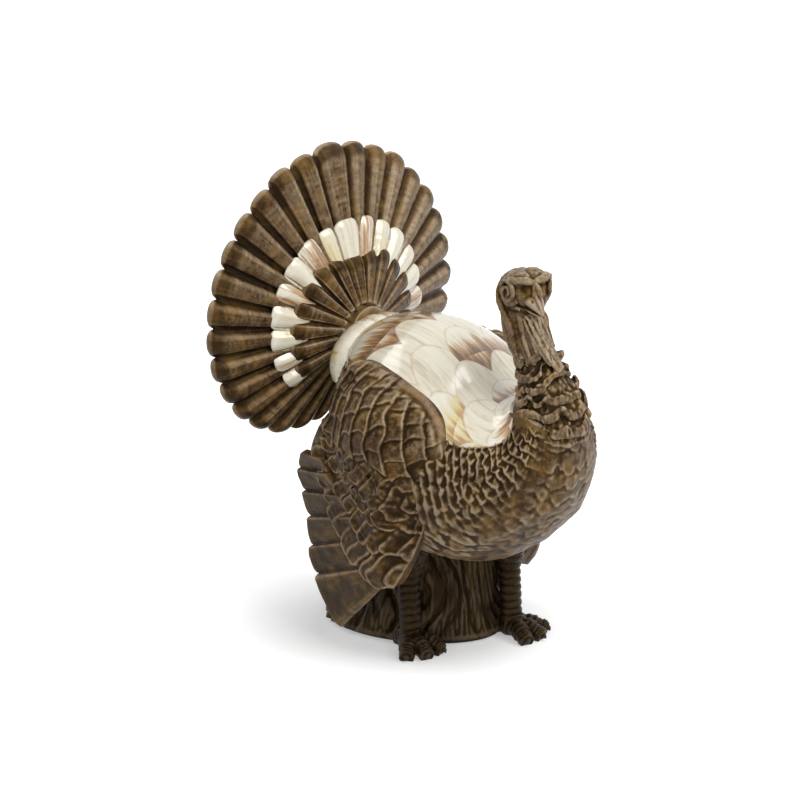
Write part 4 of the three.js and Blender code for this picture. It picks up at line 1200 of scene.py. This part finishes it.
def onHead(*spot):
    return np.array(headPlace @ Vector(spot))


def headTube(path, radii, flat=1.0, side=upright, **more):
    turned = np.array(headTurn.to_3x3() @ Vector(side))
    return tubeMesh([onHead(*p) for p in path], radii, flat, turned, **more)


def headBall(centre, half):
    return ballMesh(onHead(*centre), half, headTurn)


def faceParts(s):  # one side of the face, s is -1 for the bird's right
    brow = [(s * 11.2, 2, 3.2), (s * 10.2, -3.6, 5.4), (s * 7.6, -8, 6.3), (s * 4, -10, 6.2), (0, -10.4, 5.6)]
    turns = np.linspace(0, 1.55 * tau, 24)
    curl = []
    for k in turns:  # the coiled ring of the eye, wound inwards
        r = mix(5.3, 1.2, k / turns[-1])
        ahead = 4.4 - r * cos(k + 0.6)
        curl.append((s * (13.4 - 0.34 * ahead), -ahead, -0.5 + 1.15 * r * sin(k + 0.6)))
    bag = [(s * 11.3, 1.6, -3.2), (s * 10.6, -4, -5.6), (s * 8, -8.6, -5.0)]
    cheek = [(s * 11, 3.4, -6.4), (s * 9.8, -4, -8.6), (s * 6.6, -9.4, -8.8)]
    jowl = [(s * 10.2, 4, -10), (s * 8.6, -3, -12.2), (s * 5.2, -8, -12.6)]
    parts = [
        headTube(brow, [1.3, 2.0, 2.3, 2.1, 1.9], 0.95),
        headBall((s * 3.4, -2.4, 4.7), (7.4, 8.6, 4.6)),
        headBall((s * 8.4, -2.6, -4.4), (4.5, 6.2, 5.4)),
        headTube(curl, np.linspace(1.3, 0.9, 24), 1.0, crosswise, sides=12, steps=90),
        headTube(bag, [0.8, 1.3, 0.8], 0.9, sides=12, steps=30),
        headTube(cheek, [0.9, 1.5, 1.0], 0.8, sides=12, steps=30),
        headTube(jowl, [0.9, 1.4, 0.9], 0.8, sides=12, steps=30),
    ]
    for k in range(head["napeStrands"]):  # from the crown down the nape
        turn = radians(90 - s * (80 - 17 * k))
        path = [onHead(s * (9.6 - 1.9 * k), 5 + 1.9 * k, 3.8 - 0.2 * k)]
        path += [onHead(s * (11.6 - 2.2 * k), 6.6 + 1.7 * k, -7)]
        path += [neckSkin(t, turn, lift) for t, lift in ((0.9, 2.0), (0.76, 1.4), (0.62, -0.6))]
        parts.append(tubeMesh(path, [1.1, 1.7, 1.9, 1.7, 1.0], 0.85, upright, sides=12, steps=60))
    for k in range(head["throatCreases"]):
        turn = radians(-90 + s * (14 + 26 * k))
        lift = -0.2 - 1.2 * (s > 0)
        path = [onHead(s * (3 + 2.2 * k), -6.5 + 2.6 * k, -11)]
        for j, t in enumerate((0.92, 0.8, 0.64)):
            path.append(neckSkin(t, turn + 0.12 * (chance(k, s, j) - 0.5), lift))
        parts.append(tubeMesh(path, [1.3, 1.8, 1.6, 1.0], 0.8, upright, sides=12, steps=50))
    return parts


def beakParts():
    upper = [(0, -8.5, -4.2), (0, -13.5, -4.6), (0, -19, -6.2), (0, -23.8, -8.4)]
    culmen = [(0, -11.8, -0.8), (0, -16, -2.2), (0, -20.3, -4.8), (0, -23.8, -8.0)]
    lower = [(0, -8.5, -8.2), (0, -14, -8.9), (0, -20.5, -9.7)]
    return [
        headTube(upper, [6.0, 4.9, 2.8, 0.7], 0.62, crosswise),
        headTube(culmen, [1.0, 0.9, 0.75, 0.45], 1.0, sides=12, steps=30),
        headTube(lower, [5.0, 3.7, 1.0], 0.45, crosswise),
    ]


def faceAt(co):  # each point as the head sees it, and how far it belongs to the beak
    local = (co - headCentre) @ np.array(headTurn.to_3x3())
    x, y, z = local.T
    return local, ease((-y - 11.5 - 0.25 * np.abs(x)) / 1.6) * ease((-z - 0.4) / 1.2)


def faceRelief(co):
    local, beak = faceAt(co)
    x, y, z = local.T
    wide = np.abs(x)
    warts = 0.3 * spotDrift(local, 1.7, 61) + 0.4 * spotDrift(local, 3.4, 62)
    warts = warts * mix(0.6, 1.1, ease((z - 2) / 3)) * (1 - 0.85 * beak)
    socket = -1.8 * hump(wide, 4.8, 2.0) * hump(y, -10.4, 2.8) * hump(z, 1.2, 2.6)
    frown = -0.4 * hump(x, 0, 1.3) * hump(y, -8, 6) * hump(z, 8.2, 3)
    nostril = -0.8 * hump(wide, 2.6, 0.8) * hump(y, -15.2, 1.3) * hump(z, -3, 0.9)
    gape = -0.8 * hump(z - 0.1 * (y + 8), -7.3, 0.5) * ease((-y - 7.5) / 2)
    return warts + socket + frown + nostril + gape


def addHead():
    parts = [
        headBall((0, 1, -1.6), (12.8, 13, 10.2)),
        headBall((0, -7, -4.2), (7.2, 6.0, 6.0)),
        headBall((0, -4.4, -9.6), (7.8, 8.0, 4.2)),
        headTube([(0, 0.5, -5), (0, 0.6, -14), (0, -1.5, -26)], [9.2, 9.2, 8.8], 1.0, crosswise),
        headTube([(0, -10.8, 6), (0, -12.2, 2.5), (0, -13, -1.5)], [1.5, 1.4, 1.5], 1.0, sides=12, steps=30),
    ]
    nape = [onHead(0, 2, -6)]
    nape += [neckLine(t) + np.array([-1.2, back, 0]) for t, back in ((0.92, 1.6), (0.76, 1.0), (0.6, 0))]
    parts.append(tubeMesh(nape, [9.6, 10.2, 10.2, 9]))
    for s, _ in bothSides:
        parts += faceParts(s)
    marked = []

    def relief(co):
        local, beak = faceAt(co)
        z = local[:, 2]
        marked.append(0.24 * beak + 0.07 * ease((z - 3) / 3) - 0.05 * ease((-11 - z) / 3))
        return faceRelief(co)

    mesh = meltClay("turkey_head", parts + beakParts(), head["voxel"], relief)
    addMark(mesh, "tint", marked[0])
    place("turkey_head", mesh, headPaint, "head", edgePasses=6)


wattle = {
    "voxel": 0.4, "flat": 0.5, "tint": 0.12,
    "folds": [  # turn about the neck and height at the throat, the same at the end, half width, lift
        (-141, 0.9, -104, 0.55, 2.7, -0.3), (-131, 0.93, -93, 0.49, 3.1, 0.5),
        (-119, 0.94, -83, 0.5, 3.0, 0.3), (-108, 0.94, -76, 0.56, 2.4, -0.5),
        (-90, 0.93, -64, 0.68, 1.9, -1.2),
    ],
}


def wattleCreases(co):
    return 0.25 * drift(co[:, 0] / 1.1, co[:, 1] / 1.6, co[:, 2] / 7, 71) + 0.16 * spotDrift(co, 1.5, 72)


def addWattle():
    parts = []
    for fromTurn, high, toTurn, low, half, lift in wattle["folds"]:
        stops = [(mix(fromTurn, toTurn, k), mix(high, low, k)) for k in (0, 0.33, 0.67, 1)]
        path = [onHead(sin(radians(fromTurn + 110)) * 5, -5.5, -13)]
        path += [neckSkin(t, radians(turn), lift) for turn, t in stops]
        radii = [half * k for k in (0.5, 0.75, 0.95, 1.2, 0.95)]
        parts.append(tubeMesh(path, radii, wattle["flat"], (0.8, 0.5, 0), steps=70))
    mesh = meltClay("throat_wattle", parts, wattle["voxel"], wattleCreases)
    addMark(mesh, "tint", np.full(len(mesh.vertices), wattle["tint"]))
    place("throat_wattle", mesh, headPaint, "wattle")


snood = {
    "path": [(0.2, -12.4, 5.6), (1.3, -14, 3.2), (2.0, -14.4, 0.2), (2.4, -14.6, -2.4)],
    "radii": [1.0, 1.4, 1.4, 0.7], "flat": 0.85, "voxel": 0.32,
}


def snoodCreases(co):
    return 0.22 * spotDrift(co, 1.3, 73)


def addSnood():
    parts = [headTube(snood["path"], snood["radii"], snood["flat"], steps=60)]
    mesh = meltClay("hanging_snood", parts, snood["voxel"], snoodCreases, passes=1)
    place("hanging_snood", mesh, headPaint, "snood")


addNeck()
addHead()
addWattle()
addSnood()


# Legs and feet

leg = {
    "aside": 26.5, "right": -25.5, "left": -47.5, "shank": 5.4, "thigh": 12, "low": 4, "top": 62,
    "scuteRun": 46, "scutes": 11, "plumeRun": 7, "across": 120, "along": 170, "cap": 0.02,
}
foot = {
    "heel": 5.5, "heelHalf": (6.4, 6.4, 6.0), "toe": 18.5, "hind": 11.5, "radius": 4.6,
    "splay": 34, "aim": 16, "voxel": 0.45, "floor": 0.05,
    "toeStops": [(0, 1), (0.45, 0.6), (0.8, -1.4), (1, -2.9)],  # share of the toe, height above the heel
    "clawStops": [(-1, 0.6), (1.6, 0.3), (2.6, -0.8)],  # out from the toe's end, height above it
}


def legShape(side, back):
    seed = 80 + side

    def shape(u, v):
        t, opened = capped(v, leg["cap"])
        angle = u * tau
        z = mix(leg["low"], leg["top"], t)
        ring = z / leg["scuteRun"] * leg["scutes"] + 0.12 * ringDrift(angle, 2, z / 4, seed)
        f = ring - np.floor(ring)
        front = ease(0.5 - 0.9 * np.sin(angle + 0.3 * side))
        scute = 0.75 * np.clip(np.sin(pi * np.clip(f * 1.15, 0, 1)), 0, 1) ** 0.6 * mix(0.35, 1, front)
        tuft = z / leg["plumeRun"] + 0.4 * ringDrift(angle, 4, 0, seed + 1)
        plume = 1.2 * np.clip(1 - tuft % 1, 0, 1) ** 1.5
        radius = mix(leg["shank"] + scute, leg["thigh"] + plume, ease((z - 36) / 22)) * opened
        x = side * leg["aside"] + radius * np.cos(angle)
        y = back + (z - 20) * 0.05 + radius * np.sin(angle)
        return np.stack([x, y, z], -1), {}

    return shape


def toeParts(side, back, turn, length, seed):
    aim = radians(-90 + side * foot["aim"]) + turn
    way, up = np.array([cos(aim), sin(aim), 0]), np.array(upright)
    heel = np.array([side * leg["aside"], back, foot["heel"]])
    along = np.linspace(0, 1, 33)
    line = spline([heel + way * length * out + up * rise for out, rise in foot["toeStops"]], along)
    knuckles = 0.075 * np.cos(along * tau * 7 + seed) + 0.06 * np.sin(along * tau * 2.5)
    claw = [line[-1] + way * out + up * rise for out, rise in foot["clawStops"]]
    return [
        tubeMesh(line, foot["radius"] * (1.26 - 0.34 * along + knuckles), 0.9, upright, sides=20, steps=110),
        tubeMesh(claw, [2.3, 1.7, 0.7], 0.9, upright, sides=14, steps=24),
    ]


def footSkin(co):
    return 0.2 * spotDrift(co, 1.6, 83)


def addFoot(side, word):
    back, splay = leg[word], radians(foot["splay"])
    toes = [(-splay, "toe", 0), (0, "toe", 1), (splay, "toe", 2), (pi, "hind", 5)]
    parts = [ballMesh((side * leg["aside"], back, foot["heel"]), foot["heelHalf"])]
    for turn, length, seed in toes:
        parts += toeParts(side, back, turn, foot[length], seed)
    mesh = meltClay(word + "_clawed_foot", parts, foot["voxel"], footSkin)
    co, _ = points(mesh)
    co[:, 2] = np.maximum(co[:, 2], foot["floor"])
    movePoints(mesh, co)
    place(word + "_clawed_foot", mesh, footPaint, word + "_foot")


for side, word in bothSides:
    layPiece(word + "_scaled_leg", leg, legShape(side, leg[word]), footPaint, word + "_leg")
    addFoot(side, word)


# Stump of twisted bark strands, and the felt under it

stump = {
    "turn": 23, "aside": 4.8, "back": 1.4, "width": 68, "length": 99, "topShare": 0.35, "lean": 10,
    "low": 2.3, "high": 112, "strands": 26, "inset": 1.2, "across": 420, "along": 130, "cap": 0.03,
}
pad = {"inset": 2.5, "thick": 2.0, "across": 120, "along": 40}


def onStump(x, y, z):
    c, s = cos(radians(stump["turn"])), sin(radians(stump["turn"]))
    return np.stack([x * c - y * s + stump["aside"], x * s + y * c + stump["back"], z], -1)


def stumpShape(u, v):
    t, opened = capped(v, stump["cap"])
    angle = u * tau
    z = mix(stump["low"], stump["high"], t)
    twist = 0.35 * ringDrift(angle, 2, z / 30, 91) + z / 150
    lanes = (angle + twist) / tau * stump["strands"]
    strand = np.abs(np.sin(pi * (lanes + 0.5 * drift(np.round(lanes) * 0.7, z / 16, 0, 92))))
    strand = strand ** 0.6 * (0.75 + 0.5 * ringDrift(angle, 4, z / 22, 93))
    fine = np.abs(drift(np.cos(angle) * 22 + twist * 9, np.sin(angle) * 22, z / 11, 94))
    knots = ringDrift(angle, 3, z / 13, 95)
    bark = 3.2 * strand + 1.1 * fine + 1.1 * knots - 2.6
    relief = (bark + 2.2 * np.exp(-z / 7) - stump["inset"]) * ease(v / 0.05)
    scale = mix(1, stump["topShare"], t**1.5) / 2
    wide, long = (opened * (stump[size] * scale + relief) for size in ("width", "length"))
    return onStump(wide * np.cos(angle), long * np.sin(angle) - stump["lean"] * t, z), {}


def padShape(u, v):
    angle = u * tau
    under = v < 0.5
    out = np.sin(np.clip(np.where(under, v, 1 - v) / 0.46, 0, 1) * pi / 2)
    edge = np.clip((out - 0.97) / 0.03, 0, 1)
    z = pad["thick"] / 2 * (1 + np.where(under, -1, 1) * np.sqrt(np.clip(1 - edge**2, 0, 1)))
    wide, long = ((stump[size] / 2 - pad["inset"]) * out for size in ("width", "length"))
    return onStump(wide * np.cos(angle), long * np.sin(angle), z), {}


layPiece("bark_stump", stump, stumpShape, barkPaint, "stump")
felt = layPiece("felt_foot_pad", pad, padShape, padFelt, "felt_pad", slot="pad_felt")

# Dowels, rods and the plug keep their CAD shape inside the castings
innerFinish = {"dowel": rodSteel, "rod": rodSteel, "base_plug": barkPaint}
for nodeName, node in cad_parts.items():
    for word, finish in innerFinish.items():
        if word in nodeName:
            node.data.materials.clear()
            node.data.materials.append(finish)
print("inner pieces painted")
